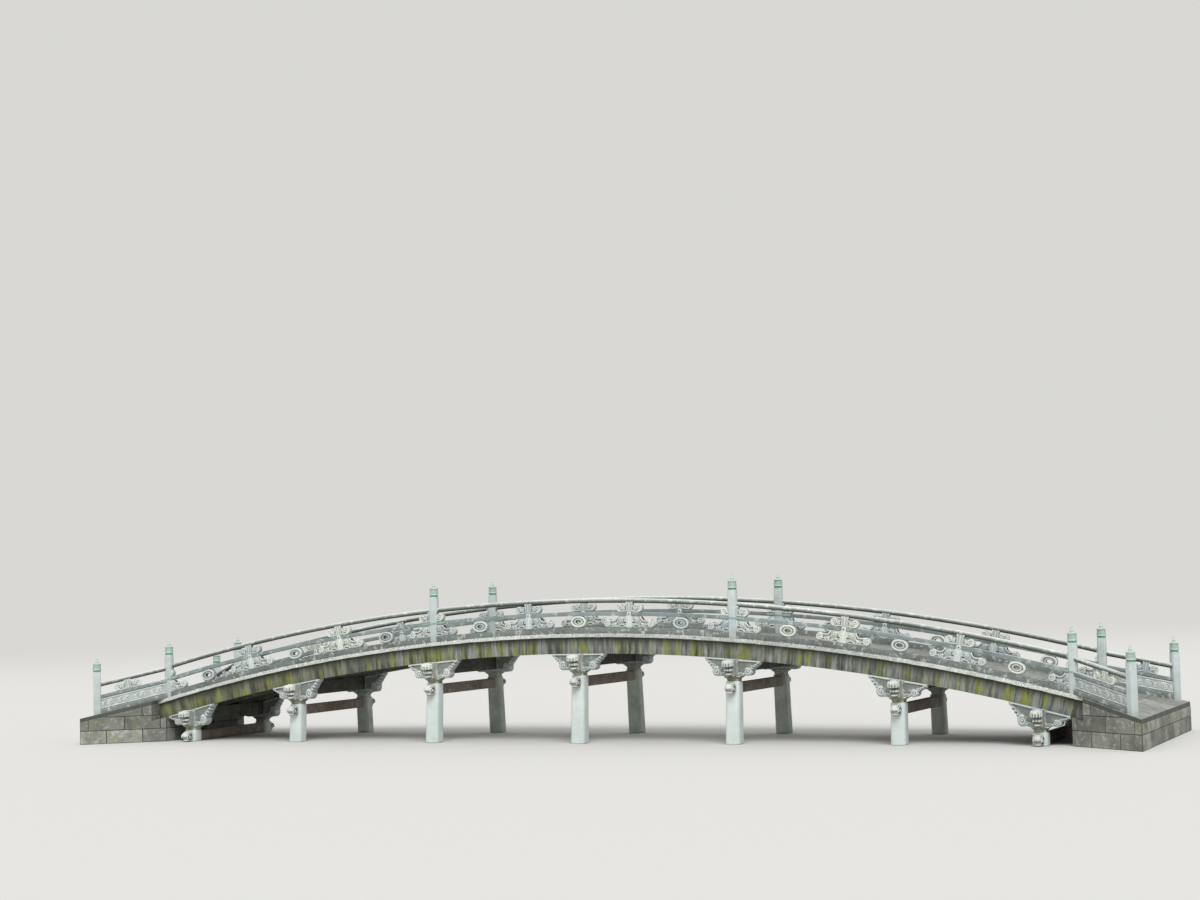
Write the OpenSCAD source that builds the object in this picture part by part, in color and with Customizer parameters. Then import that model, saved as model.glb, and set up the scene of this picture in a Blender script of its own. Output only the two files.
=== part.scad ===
// Arched stone garden bridge on seven two-column bents, with a carved railing
// on each side and splayed wing railings at both ends.
// X runs along the bridge, Y across it, Z up. The origin is at the middle of
// the bridge, on the level surface that the columns stand on.
// Heights called "above the edge" are measured outwards from the lower line of
// the deck's edge, which is one circular arc.

/* [Arch] */
// Rise of the deck's edge from the end posts to the middle of the bridge
arch_rise = 1143; // [1000:1:1220]
// Height of the deck's edge at the middle of the bridge
crown_z = 1926; // [1850:2:2300]
// Distance from one bent to the next
bay = 3000; // [2700:10:3400]
// Distance from an end bent to the end post
end_inset = 570; // [560:5:700]

/* [Deck] */
// Distance of the railing line from the middle of the deck
rail_y = 1236; // [1000:2:1400]
// Thickness of the deck slabs and of the edge lip
deck_t = 65; // [50:1:90]
// Width of the lip stones
lip_w = 200; // [170:5:260]
// How far the lip stands out past the railing line
lip_out = 114; // [95:1:140]
// Length of one deck slab along the bridge
slab_l = 500; // [400:10:800]
// How far the deck runs past the end posts
deck_over = 200; // [160:5:260]
// Height of the edge beams
beam_h = 300; // [250:5:340]
// Width of the edge beams and the inner beams
beam_w = 180; // [140:5:220]
// How far the edge beam's face stands out past the railing line
beam_out = 64; // [50:1:80]
// Distance of an inner beam from the middle of the deck
inner_y = 420; // [300:10:560]

/* [Columns] */
// Width of a column at its top
shaft_w = 256; // [236:2:300]
// Corner chamfer of a column
shaft_chamfer = 32; // [20:1:45]
// Widening of each column face, in degrees
taper = 0.46; // [0.1:0.02:1]
// Outward lean of the columns, in degrees
batter = 3.9; // [1:0.1:6]
// Distance of a column's top from the middle of the deck
top_y = 1260; // [1150:5:1330]
// Height of the neck between column and dish
neck_h = 50; // [35:1:60]
// Width of the neck
neck_w = 208; // [180:2:220]
// Height of the dish under the bracket
dish_h = 40; // [30:1:60]
// Width of the dish at its top
dish_w = 350; // [320:5:380]
// Width of the tie beam between two columns
tie_w = 110; // [80:5:150]
// Height of the tie beam
tie_h = 185; // [150:5:200]
// Depth of the tie beam below the column's top
tie_drop = 30; // [15:1:40]

/* [Brackets] */
// Height of a bracket below the edge beam
bracket_h = 300; // [270:5:320]
// Thickness of a bracket across the bridge
bracket_t = 200; // [170:5:230]
// Half the length of a bracket at its top
arm_l = 515; // [480:5:535]
// Thickness of the arm's tip
tip_t = 28; // [20:1:40]
// Radius of the large scroll under each arm
scroll_r = 85; // [70:1:95]
// Width of the beam head that juts out over a column
head_w = 180; // [150:5:210]
// How far the beam head juts out past the bracket
head_l = 330; // [260:5:380]
// Width of the tie beam's nose
nose_w = 165; // [120:5:180]
// How far the tie beam's nose juts out past the column
nose_l = 215; // [160:5:260]
// Width of the cap beam between two brackets
cap_beam_w = 180; // [140:5:220]
// Height of the cap beam
cap_beam_h = 240; // [180:5:280]

/* [Railing] */
// Width of a railing post
post_w = 145; // [130:1:160]
// Corner chamfer of a post
post_chamfer = 20; // [10:1:30]
// Height of a post above the edge
post_h = 920; // [880:1:980]
// Height of the curb stones
curb_h = 105; // [90:1:130]
// Width of the curb stones
curb_w = 120; // [100:1:128]
// Height of the flat rail's middle above the edge
flat_c = 420; // [400:1:440]
// Height of the flat rail
flat_h = 70; // [55:1:80]
// Width of the flat rail
flat_w = 100; // [90:1:115]
// Height of the round rail's middle above the edge
round_c = 660; // [640:1:700]
// Diameter of the round rail
round_d = 85; // [75:1:100]
// Thickness of the carved cloud stones
cloud_t = 92; // [80:1:96]
// Thickness of the copper straps round posts and flat rails
strap_t = 4; // [3:0.5:6]
// Height of a strap
strap_h = 34; // [26:1:50]
// Reach of a strap along the rail, from the middle of the post
strap_l = 230; // [180:5:280]
// Width of an oval ring stone
ring_w = 300; // [260:5:320]
// Diameter of the hole in a ring stone
ring_bore = 70; // [50:2:84]

/* [Cloud stones] */
// Half the length of a lower stone's raised block
block_l = 205; // [180:5:230]
// Distance of a lower stone's end scrolls from its middle
foot_l = 426; // [400:2:450]
// Radius of those end scrolls
foot_scroll = 64; // [50:1:68]
// Radius of the hollow between block and wing
hollow_r = 76; // [60:1:84]
// Half the width of an upper stone's neck
stem_w = 58; // [50:1:70]
// Distance of the upper stone's volutes from its middle
volute_x = 190; // [170:2:210]
// Radius of those volutes
volute_r = 68; // [56:1:76]

/* [Post caps] */
// How far the cap's brim stands out past the post
cap_over = 16; // [8:1:24]
// Height of the narrow collar under the bell
collar_h = 32; // [20:1:40]
// Height of the bell with its brim on top
bell_h = 128; // [110:1:145]
// Height of the finial on top of the bell
finial_h = 110; // [95:1:125]
// Diameter of the finial's tip
tip_d = 32; // [26:1:38]

/* [Wings] */
// Length of a wing along the bridge
wing_x = 1110; // [900:10:1300]
// Splay of a wing across the bridge
wing_y = 864; // [600:10:1000]
// How far the landing runs past the wing post
landing_over = 190; // [170:5:260]
// Margin of the landing outside the wing's line
wing_margin = 130; // [110:5:180]
// Bearing of the deck on the abutment
seat_l = 220; // [190:5:240]
// Thickness of the wing panels
panel_t = 70; // [50:1:90]

/* [Hidden] */

$fn = 64;
// Steps of a full circle where the long arcs are drawn
arc_fn = 1440;
// Clearance between carved stones and what they sit against
seat = 0.3;
// Open joint between two stones in a row
joint = 0.6;
// Reach of the boxes that cut the long pieces
big = 20000;
// How far a post's rail socket stands out of the post
socket_l = 16;

end_post = 3 * bay;
end_bent = end_post - end_inset;
deck_end = end_post + deck_over;
arch_r = (end_post * end_post + arch_rise * arch_rise) / (2 * arch_rise);
bents = [-end_bent, -2 * bay, -bay, 0, bay, 2 * bay, end_bent];
posts = [-end_post, -bay, bay, end_post];
// Places at shares of the way from each post to the next
function between(shares) =
  [for (i = [0:len(posts) - 2], t = shares) posts[i] + t * (posts[i + 1] - posts[i])];
cloud_x = between([1 / 3, 2 / 3]);
ring_x = between([1 / 6, 1 / 2, 5 / 6]);
joints_x = [-deck_end, -2 * bay, -bay, 0, bay, 2 * bay, deck_end];

cap_d = post_w + 2 * cap_over;
curb_top = deck_t + curb_h;
flat_lo = flat_c - flat_h / 2;
flat_hi = flat_c + flat_h / 2;
lip_y = rail_y + lip_out;
beam_y = rail_y + beam_out;
column_gap = beam_h + bracket_h + dish_h + neck_h;

bracket_y = top_y + bracket_t / 2;
scroll_x = 0.56 * arm_l;

wing_len = norm([wing_x, wing_y]);
wing_turn = atan2(wing_y, wing_x);
landing_end = end_post + wing_x + landing_over;
end_slope = deck_end / sqrt(arch_r * arch_r - deck_end * deck_end);
wing_slope = end_slope * cos(wing_turn);
wing_tilt = atan(wing_slope);
// Loss of height between upright and square to the wing's slope, as a share
lean = 1 - cos(wing_tilt);

// Height of the deck's edge at a place along the bridge
function edge_z(x) = crown_z - arch_r + sqrt(arch_r * arch_r - x * x);
// Height of a line parallel to the edge, h above it
function arc_z(h, x) = crown_z - arch_r + sqrt(pow(arch_r + h, 2) - x * x);
// Height of that line in a frame that stands square on the edge
function local_z(h, u) = sqrt(pow(arch_r + h, 2) - u * u) - arch_r;
// Height of a column's top
function shaft_top(x) = arc_z(-beam_h, x) - column_gap + beam_h;
// Height of the edge line on the approach, straight on from the arch
function approach_z(x) = edge_z(deck_end) - (x - deck_end) * end_slope;
// Points along an arc h above the edge, from x0 to x1
function arc_points(h, x0, x1, n) =
  [for (i = [0:n]) let (x = x0 + (x1 - x0) * i / n) [x, arc_z(h, x)]];
// The same in the frame that stands square on the edge
function local_points(h, u0, u1, n) =
  [for (i = [0:n]) let (u = u0 + (u1 - u0) * i / n) [u, local_z(h, u)]];
// Where the inner and outer faces of a column of height h lie at height z
function inner_face(h, z) = top_y - shaft_w / 2 * cos(batter)
  + (h - shaft_w / 2 * sin(batter) - z) * tan(batter - taper);
function outer_face(h, z) = top_y + shaft_w / 2 * cos(batter)
  + (h + shaft_w / 2 * sin(batter) - z) * tan(batter + taper);

// Shapes are modelled on the rear side, and the front is their mirror image
module front() mirror([0, 1, 0]) children();
module both_ends() {
  children();
  mirror([1, 0, 0]) children();
}
module all_corners() both_ends() {
  children();
  front() children();
}
// Puts a flat outline drawn in X and Z across Y, from y0 to y1
module across(y0, y1) translate([0, y1, 0]) rotate([90, 0, 0]) linear_extrude(y1 - y0) children();
// Puts a flat outline drawn in Y and Z along X, centred on x
module along(x, w) translate([x - w / 2, 0, 0]) rotate([90, 0, 90]) linear_extrude(w) children();
// A frame that stands square on the edge at x
module on_arch(x) translate([x, 0, edge_z(x)]) rotate([0, asin(x / arch_r), 0]) children();

// Sweeps a section drawn as radius and Y along the arch, on the positive side
module sweep_piece(h0, h1, xa, xb) {
  near = asin(xa / (arch_r + h1));
  far = asin(xb / (arch_r + h0));
  intersection() {
    translate([0, 0, crown_z - arch_r])
      rotate([90, 0, 0])
        rotate_extrude(angle = far - near, start = 90 - far, $fn = arc_fn)
          children();
    translate([xa, -big / 2, 0]) cube([xb - xa, big, big]);
  }
}
// Sweeps it between any two places, with upright ends
module sweep(h0, h1, xa, xb) {
  if (xa >= 0) sweep_piece(h0, h1, xa, xb) children();
  else if (xb <= 0) mirror([1, 0, 0]) sweep_piece(h0, h1, -xb, -xa) children();
  else {
    sweep_piece(h0, h1, 0, xb) children();
    mirror([1, 0, 0]) sweep_piece(h0, h1, 0, -xa) children();
  }
}
// A bar of rectangular section, from h0 to h1 above the edge
module arch_bar(h0, h1, y0, y1, xa, xb)
  sweep(h0, h1, xa, xb)
    translate([arch_r + h0, -y1]) square([h1 - h0, y1 - y0]);

// A tapered slab with sloping sides, w wide at its top
module wedge(w, len, depth)
  rotate([90, 0, 0])
    linear_extrude(depth, center = true)
      polygon([[-w / 2, 0], [w / 2, 0],
               [w / 2 + len * tan(taper), -len], [-w / 2 - len * tan(taper), -len]]);
// An eight-sided tapered post that hangs down from the origin
module obelisk(w, chamfer, len) {
  diagonal = (2 * w - 2 * chamfer) / sqrt(2);
  intersection() {
    wedge(w, len, 3 * w);
    rotate([0, 0, 90]) wedge(w, len, 3 * w);
    rotate([0, 0, 45]) wedge(diagonal, len, 3 * w);
    rotate([0, 0, 135]) wedge(diagonal, len, 3 * w);
  }
}
module column(x) {
  h = shaft_top(x);
  intersection() {
    translate([x, top_y, h]) rotate([batter, 0, 0])
      translate([0, 0, shaft_w]) obelisk(shaft_w - 2 * shaft_w * tan(taper), shaft_chamfer, h + 2 * shaft_w);
    translate([x - shaft_w, 0, 0]) cube([2 * shaft_w, 2 * top_y, h]);
  }
}
module columns() color("#cdd5d5") for (x = bents) column(x);

// Tie beam between the two columns of a bent
module tie_beam(x) {
  h = shaft_top(x);
  z1 = h - tie_drop;
  z0 = max(z1 - tie_h, 10);
  along(x, tie_w)
    polygon([[-inner_face(h, z0), z0], [inner_face(h, z0), z0],
             [inner_face(h, z1), z1], [-inner_face(h, z1), z1]]);
}
module tie_beams() color("#6f675c") for (x = bents) tie_beam(x);

// Carved nose at the end of a tie beam, curled under at its tip
module tie_nose(x) {
  h = shaft_top(x);
  z1 = h - tie_drop;
  z0 = max(z1 - tie_h, 10);
  y1 = outer_face(h, z1);
  y0 = outer_face(h, z0);
  s = (z1 - z0) / tie_h;
  lobe = 0.40 * nose_l * s;
  curl = 0.26 * nose_l * s;
  along(x, nose_w) difference() {
    union() {
      polygon([[y1, z1], [y1 + 0.5 * nose_l, z1 - 2], [y1 + 0.72 * nose_l, z1 - curl],
               [y1 + 0.6 * nose_l, z0 + 0.55 * tie_h * s], [y0 + 0.3 * nose_l, z0 + 8], [y0, z0]]);
      translate([y1 + nose_l - lobe, z1 - lobe]) circle(lobe);
      translate([y0 + 0.36 * nose_l, z0 + curl]) circle(curl);
    }
    translate([y0 + 0.80 * nose_l, z0 + 0.5 * curl]) circle(0.55 * curl);
  }
}
module tie_noses() color("#d9dcd8") for (x = bents) tie_nose(x);

// Neck and dish between a column and its bracket
module neck_block(x) {
  z = shaft_top(x);
  translate([x - neck_w / 2, top_y - neck_w / 2, z]) cube([neck_w, neck_w, neck_h]);
  outline = [[-neck_w / 2 - 12, 0], [neck_w / 2 + 12, 0], [dish_w / 2, dish_h], [-dish_w / 2, dish_h]];
  translate([x, top_y, z + neck_h]) intersection() {
    across(-dish_w, dish_w) polygon(outline);
    along(0, 2 * dish_w) polygon([[-neck_w / 2 - 12, 0], [neck_w / 2 + 12, 0],
      [bracket_t / 2 + 40, dish_h], [-bracket_t / 2 - 40, dish_h]]);
  }
}
module neck_blocks() color("#9a9c6e") for (x = bents) neck_block(x);

// Outline of a bracket: two scalloped arms that follow the beam, over two scrolls
module bracket_outline(x) {
  base = arc_z(-beam_h, x) - bracket_h;
  difference() {
    union() {
      polygon(concat(
        arc_points(-beam_h, x - arm_l, x + arm_l, 12),
        [[x + arm_l, arc_z(-beam_h, x + arm_l) - tip_t],
         [x + 0.68 * arm_l, arc_z(-beam_h, x + 0.68 * arm_l) - 0.54 * bracket_h],
         [x + scroll_x, base + scroll_r], [x + 0.4 * arm_l, base],
         [x - 0.4 * arm_l, base], [x - scroll_x, base + scroll_r],
         [x - 0.68 * arm_l, arc_z(-beam_h, x - 0.68 * arm_l) - 0.54 * bracket_h],
         [x - arm_l, arc_z(-beam_h, x - arm_l) - tip_t]]));
      for (s = [-1, 1]) translate([x + s * scroll_x, base + scroll_r]) circle(scroll_r);
    }
    for (s = [-1, 1], t = [0.20, 0.50, 0.80]) {
      u = s * arm_l * (1 - 0.32 * t + 0.02);
      drop = tip_t + (0.54 * bracket_h - tip_t) * t + 12;
      translate([x + u, arc_z(-beam_h, x + u) - drop]) circle(0.055 * arm_l);
    }
  }
}
module bracket(x) {
  base = arc_z(-beam_h, x) - bracket_h;
  across(top_y - bracket_t / 2, top_y + bracket_t / 2) bracket_outline(x);
  for (s = [-1, 1])
    translate([x + s * scroll_x, top_y, base + scroll_r])
      rotate([90, 0, 0]) cylinder(h = bracket_t + 20, r = 0.38 * scroll_r, center = true);
}
module brackets() color("#a9aaa4") for (x = bents) bracket(x);

// Carved beam head: brow, snout, jaw and chin in three tiers
module beam_head(x) {
  z = arc_z(-beam_h, x);
  h = bracket_h;
  along(x, head_w) translate([bracket_y, z]) difference() {
    union() {
      translate([0, -0.96 * h]) square([0.42 * head_l, 0.97 * h]);
      translate([0.24 * head_l, -0.24 * h]) circle(0.27 * h);
      translate([0.58 * head_l, -0.27 * h]) circle(0.23 * h);
      translate([head_l - 0.15 * h, -0.20 * h]) circle(0.15 * h);
      polygon([[0, 0.02 * h], [0.5 * head_l, -0.04 * h], [0.85 * head_l, -0.12 * h],
               [0.86 * head_l, -0.32 * h], [0.6 * head_l, -0.50 * h], [0, -0.52 * h]]);
      translate([0, -0.73 * h]) square([0.62 * head_l, 0.16 * h]);
      translate([0.62 * head_l, -0.65 * h]) circle(0.08 * h);
      translate([0.36 * head_l, -0.86 * h]) circle(0.11 * h);
    }
    translate([0.56 * head_l, -0.535 * h]) circle(0.045 * h);
    translate([0.52 * head_l, -0.78 * h]) circle(0.05 * h);
    translate([-head_l, -2 * h]) square([head_l, 3 * h]);
  }
}
module beam_heads() color("#d9dcd8") for (x = bents) beam_head(x);

// Cap beam that joins the brackets of a bent under the deck
module cap_beam(x)
  across(-top_y + bracket_t / 2, top_y - bracket_t / 2)
    polygon(concat(arc_points(-beam_h, x - cap_beam_w / 2, x + cap_beam_w / 2, 4),
      [[x + cap_beam_w / 2, arc_z(-beam_h, x) - cap_beam_h],
       [x - cap_beam_w / 2, arc_z(-beam_h, x) - cap_beam_h]]));
module cap_beams() color("#6f6a60") for (x = bents) cap_beam(x);

// A row of stones between the places in a list, with an open joint between two
module stone_row(h0, h1, y0, y1, ends)
  for (i = [0:len(ends) - 2])
    arch_bar(h0, h1, y0, y1,
      ends[i] + (i > 0 ? joint / 2 : 0), ends[i + 1] - (i < len(ends) - 2 ? joint / 2 : 0));

// Beams and deck, one stone from bent to bent
module edge_beam() color("#8f8f88") stone_row(-beam_h, 0, beam_y - beam_w, beam_y, joints_x);
module inner_beams() color("#6f6a60")
  for (y = [-inner_y, inner_y]) stone_row(-beam_h, 0, y - beam_w / 2, y + beam_w / 2, joints_x);
module deck_lip() color("#cfcabb") stone_row(0, deck_t, lip_y - lip_w, lip_y, joints_x);
module deck_slabs() {
  n = 2 * ceil(deck_end / slab_l);
  slab_ends = [for (i = [0:n]) deck_end * (2 * i / n - 1)];
  color("#98968c") stone_row(0, deck_t, -(lip_y - lip_w), lip_y - lip_w, slab_ends);
}

// Railing stretches between two posts
module between_posts() {
  for (i = [0:len(posts) - 2]) {
    $xa = posts[i] + post_w / 2;
    $xb = posts[i + 1] - post_w / 2;
    $mid = (posts[i] + posts[i + 1]) / 2;
    $third = (posts[i + 1] - posts[i]) / 3;
    children();
  }
}
module curb() color("#8a857b") between_posts()
  stone_row(deck_t, curb_top, rail_y - curb_w / 2, rail_y + curb_w / 2, [$xa, $mid, $xb]);
module flat_rail() color("#a3a59f") between_posts()
  stone_row(flat_lo, flat_hi, rail_y - flat_w / 2, rail_y + flat_w / 2,
    [$xa, $mid - $third / 2, $mid + $third / 2, $xb]);
function rail_turn(x) = asin(x / (arch_r + round_c));
// A length of round rail between two angles on the arch, with square ends
module round_arc(a0, a1)
  if (a0 * a1 < 0) {
    round_arc(a0, 0);
    round_arc(0, a1);
  }
  else
    translate([0, 0, crown_z - arch_r]) rotate([90, 0, 0])
      rotate_extrude(angle = a1 - a0, start = 90 - a1, $fn = arc_fn)
        translate([arch_r + round_c, -rail_y]) circle(round_d / 2, $fn = 48);
module round_rail() color("#a3a59f") between_posts() {
  ends = [$xa + socket_l, $mid - $third / 2, $mid + $third / 2, $xb - socket_l];
  for (i = [0:2]) round_arc(rail_turn(ends[i] + joint / 2), rail_turn(ends[i + 1] - joint / 2));
}

// An upright eight-sided post, w wide, from z0 up to z1
module square_post(w, chamfer, z0, z1) {
  a = w / 2;
  b = a - chamfer;
  translate([0, 0, z0]) linear_extrude(z1 - z0)
    polygon([[a, b], [b, a], [-b, a], [-a, b], [-a, -b], [-b, -a], [b, -a], [a, -b]]);
}
// Room that a post takes up, with its clearance
module post_room(grow, z0, z1)
  translate([-post_w / 2 - grow, -post_w / 2 - grow, z0])
    cube([post_w + 2 * grow, post_w + 2 * grow, z1 - z0]);
// Short round socket that turns the upright side of a post square to the round rail
module rail_socket(x, dir) {
  a = rail_turn(x + dir * (post_w / 2 + socket_l));
  translate([(arch_r + round_c) * sin(a), rail_y, crown_z - arch_r + (arch_r + round_c) * cos(a)])
    rotate([0, a - 90 * dir, 0]) cylinder(h = post_w / 2, d = round_d, $fn = 48);
}
module post(x) {
  difference() {
    translate([x, rail_y, 0]) square_post(post_w, post_chamfer, edge_z(x), edge_z(x) + post_h);
    across(rail_y - post_w, rail_y + post_w)
      polygon(concat(arc_points(deck_t + seat, x - post_w, x + post_w, 4),
        [[x + post_w, 0], [x - post_w, 0]]));
  }
  for (dir = [-1, 1]) if (abs(x + dir * post_w) < end_post) rail_socket(x, dir);
}
module posts_row() color("#ccd1cd") for (x = posts) post(x);

// Copper strap on both faces of the flat rail, bent out round the post. The end
// posts have it on the bridge side alone.
module rail_strap(x) {
  lo = flat_c - strap_h / 2;
  hi = flat_c + strap_h / 2;
  xa = x == -end_post ? x : x - strap_l;
  xb = x == end_post ? x : x + strap_l;
  reach = flat_w / 2 + strap_t;
  difference() {
    intersection() {
      across(rail_y - post_w, rail_y + post_w)
        polygon(concat(arc_points(lo, xa, xb, 4), arc_points(hi, xb, xa, 4)));
      union() {
        translate([x, rail_y, 0])
          square_post(post_w + 2 * strap_t, post_chamfer + strap_t / 2, 0, big);
        translate([x - bay, rail_y - reach, 0]) cube([2 * bay, 2 * reach, big]);
      }
    }
    translate([x - bay, rail_y - flat_w / 2, 0]) cube([2 * bay, flat_w, big]);
    translate([x, rail_y, 0]) square_post(post_w, post_chamfer, 0, big);
  }
}
module rail_straps() color("#7fb5a5") for (x = posts) rail_strap(x);

// Post cap turned in one piece: collar, tapered bell with a brim on top, waisted finial
module post_cap() {
  brim_z = collar_h + bell_h;
  // Radius as a share of the brim's diameter, height as a share of bell or finial
  bell = [[0.48, 0], [0.48, 0.14], [0.455, 0.18], [0.41, 0.86], [0.50, 0.93], [0.50, 1]];
  finial = [[0.37, 0.06], [0.24, 0.15], [0.15, 0.27], [0.19, 0.36], [0.185, 0.46],
            [0.12, 0.60], [0.07, 0.72], [0.06, 0.84]];
  rotate_extrude($fn = 48) union() {
    polygon(concat(
      [[0, 0], [0.42 * cap_d, 0], [0.42 * cap_d, collar_h]],
      [for (p = bell) [p[0] * cap_d, collar_h + p[1] * bell_h]],
      [for (p = finial) [p[0] * cap_d, brim_z + p[1] * finial_h]],
      [[0, brim_z + 0.84 * finial_h]]));
    translate([0, brim_z + finial_h - tip_d / 2])
      intersection() {
        circle(tip_d / 2);
        translate([0, -tip_d]) square(2 * tip_d);
      }
  }
}
module post_caps() color("#8fb09c")
  for (x = posts) translate([x, rail_y, edge_z(x) + post_h]) post_cap();

// Lower cloud stone: a block between two wings, each with a scroll at its end
module cloud_foot_outline() {
  slope = 0.55 * hollow_r;
  lo = curb_top + seat;
  hi = flat_lo - seat;
  wing_h = lo + 0.42 * (hi - lo);
  difference() {
    union() {
      polygon(concat(local_points(lo, -foot_l, foot_l, 8),
        [[foot_l, local_z(wing_h, foot_l)], [block_l + slope, local_z(wing_h, block_l)],
         [block_l, local_z(hi, block_l)], [0, local_z(hi, 0) - 0.1],
         [-block_l, local_z(hi, block_l)], [-block_l - slope, local_z(wing_h, block_l)],
         [-foot_l, local_z(wing_h, foot_l)]]));
      for (s = [-1, 1])
        translate([s * foot_l, local_z(lo, foot_l + foot_scroll) + foot_scroll + 2]) circle(foot_scroll);
    }
    for (s = [-1, 1])
      translate([s * (block_l + 1.08 * hollow_r), local_z(hi, block_l) - 8]) circle(hollow_r);
  }
}
// Upper cloud stone: a stem that flares up to the round rail, between two volutes
module cloud_head_outline() {
  lo = flat_hi + seat;
  top = round_c - round_d / 4;
  low_waist = lo + 0.33 * (top - lo);
  high_waist = lo + 0.6 * (top - lo);
  flare = stem_w + 0.66 * volute_r;
  lobe_x = 0.59 * volute_x;
  lobe_r = 0.9 * volute_r;
  foot = local_z(lo, volute_x + volute_r);
  difference() {
    union() {
      polygon(concat(local_points(lo, -stem_w - 18, stem_w + 18, 2),
        [[stem_w, low_waist], [stem_w, high_waist], [flare, top],
         [-flare, top], [-stem_w, high_waist], [-stem_w, low_waist]]));
      for (s = [-1, 1]) {
        translate([s * volute_x, foot + volute_r + 1]) circle(volute_r);
        translate([s * lobe_x, foot + lobe_r + 1]) circle(lobe_r);
      }
    }
    for (s = [-1, 1]) translate([s * lobe_x, local_z(lo, 0) - lobe_r / 2]) circle(0.88 * lobe_r);
  }
}
// Room of the round rail over a cloud stone
module rail_groove(len)
  translate([0, 0, round_c]) rotate([0, 90, 0]) cylinder(h = len, d = round_d + 2 * seat, center = true);
module cloud_foot() across(-cloud_t / 2, cloud_t / 2) cloud_foot_outline();
module cloud_head() difference() {
  across(-cloud_t / 2, cloud_t / 2) cloud_head_outline();
  rail_groove(2 * volute_x + 4 * volute_r);
}
// Cuts a cloud stone round a post, and off past the end posts
module beside_post(x) difference() {
  translate([0, rail_y, 0]) on_arch(x) children();
  translate([x, rail_y, 0]) post_room(seat, 0, big);
  if (abs(x) == end_post)
    translate([x > 0 ? x : x - big, 0, 0]) cube([big, 2 * rail_y, big]);
}
module cloud_feet() color("#a9aaa4") {
  for (x = cloud_x) translate([0, rail_y, 0]) on_arch(x) cloud_foot();
  for (x = posts) beside_post(x) cloud_foot();
}
module cloud_heads() color("#b2b3ad") {
  for (x = cloud_x) translate([0, rail_y, 0]) on_arch(x) cloud_head();
  for (x = posts) beside_post(x) cloud_head();
}

// Oval ring stone that stands on the curb under the flat rail
module ring_stone() {
  lo = curb_top + seat;
  hi = flat_lo - seat;
  r = (hi - lo - 1) / 2;
  shift = ring_w / 2 - r;
  mid_z = (lo + hi) / 2;
  across(-cloud_t / 2, cloud_t / 2) difference() {
    union() {
      for (s = [-1, 1]) translate([s * shift, mid_z - 0.4]) circle(r);
      translate([-shift, mid_z - 0.4 - r]) square([2 * shift, 2 * r]);
    }
    for (s = [-1, 1]) translate([s * shift * 0.6, mid_z]) circle(ring_bore / 2);
    translate([-shift * 0.6, mid_z - ring_bore / 2]) square([shift * 1.2, ring_bore]);
  }
}
module ring_stones() color("#a9aaa4")
  for (x = ring_x) translate([0, rail_y, 0]) on_arch(x) ring_stone();

// Plan of the flared end, from x0 out to the end of the landing
module flare_plan(x0) {
  function flare_y(x) = rail_y + (x - end_post) * tan(wing_turn) + wing_margin / cos(wing_turn);
  polygon([[x0, -flare_y(x0)], [landing_end, -flare_y(landing_end)],
           [landing_end, flare_y(landing_end)], [x0, flare_y(x0)]]);
}
// Abutment with a seat for the beams and a back wall up to the landing
module abutment() intersection() {
  linear_extrude(crown_z) flare_plan(deck_end - seat_l);
  across(-2 * lip_y, 2 * lip_y)
    polygon(concat([[deck_end - seat_l, 0]],
      arc_points(-beam_h, deck_end - seat_l, deck_end, 4),
      [[deck_end, approach_z(deck_end)], [landing_end, approach_z(landing_end)], [landing_end, 0]]));
}
module landing() intersection() {
  linear_extrude(crown_z) flare_plan(deck_end);
  across(-2 * lip_y, 2 * lip_y)
    polygon([[deck_end, approach_z(deck_end)], [landing_end, approach_z(landing_end)],
             [landing_end, approach_z(landing_end) + deck_t], [deck_end, approach_z(deck_end) + deck_t]]);
}
module abutments() color("#7d7b70") both_ends() abutment();
module landings() color("#98968c") both_ends() landing();

// The wing's own frame: X along the wing from the end post, Z from the edge line there
module on_wing() translate([end_post, rail_y, approach_z(end_post)]) rotate([0, 0, wing_turn]) children();
// Cuts a wing piece round the posts at both ends and off the landing below it
module fit_wing() difference() {
  on_wing() children();
  translate([end_post, rail_y, 0]) post_room(0, 0, big);
  on_wing() translate([wing_len, 0, -big / 2]) post_room(0, 0, big);
  across(-big, big)
    polygon([[end_post - bay, 0], [landing_end + bay, 0],
             [landing_end + bay, approach_z(landing_end + bay) + deck_t],
             [end_post - bay, approach_z(end_post - bay) + deck_t]]);
}
// A bar of rectangular section along the wing, from h0 to h1 above the edge line
module wing_bar(w, h0, h1) across(-w / 2, w / 2)
  polygon([[0, h0], [wing_len, h0 - wing_len * wing_slope],
           [wing_len, h1 - wing_len * wing_slope], [0, h1]]);
module wing_curbs() color("#8a857b") all_corners() fit_wing() wing_bar(curb_w, 0, curb_top);
module wing_panels() color("#c9c9c2") all_corners() fit_wing() wing_bar(panel_t, curb_top, flat_lo);
module wing_flat_rails() color("#a3a59f") all_corners() fit_wing() wing_bar(flat_w, flat_lo, flat_hi);
module wing_round_rails() color("#a3a59f") all_corners() fit_wing()
  translate([0, 0, round_c]) rotate([0, 90 + wing_tilt, 0])
    cylinder(h = wing_len / cos(wing_tilt), d = round_d, $fn = 48);
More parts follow.
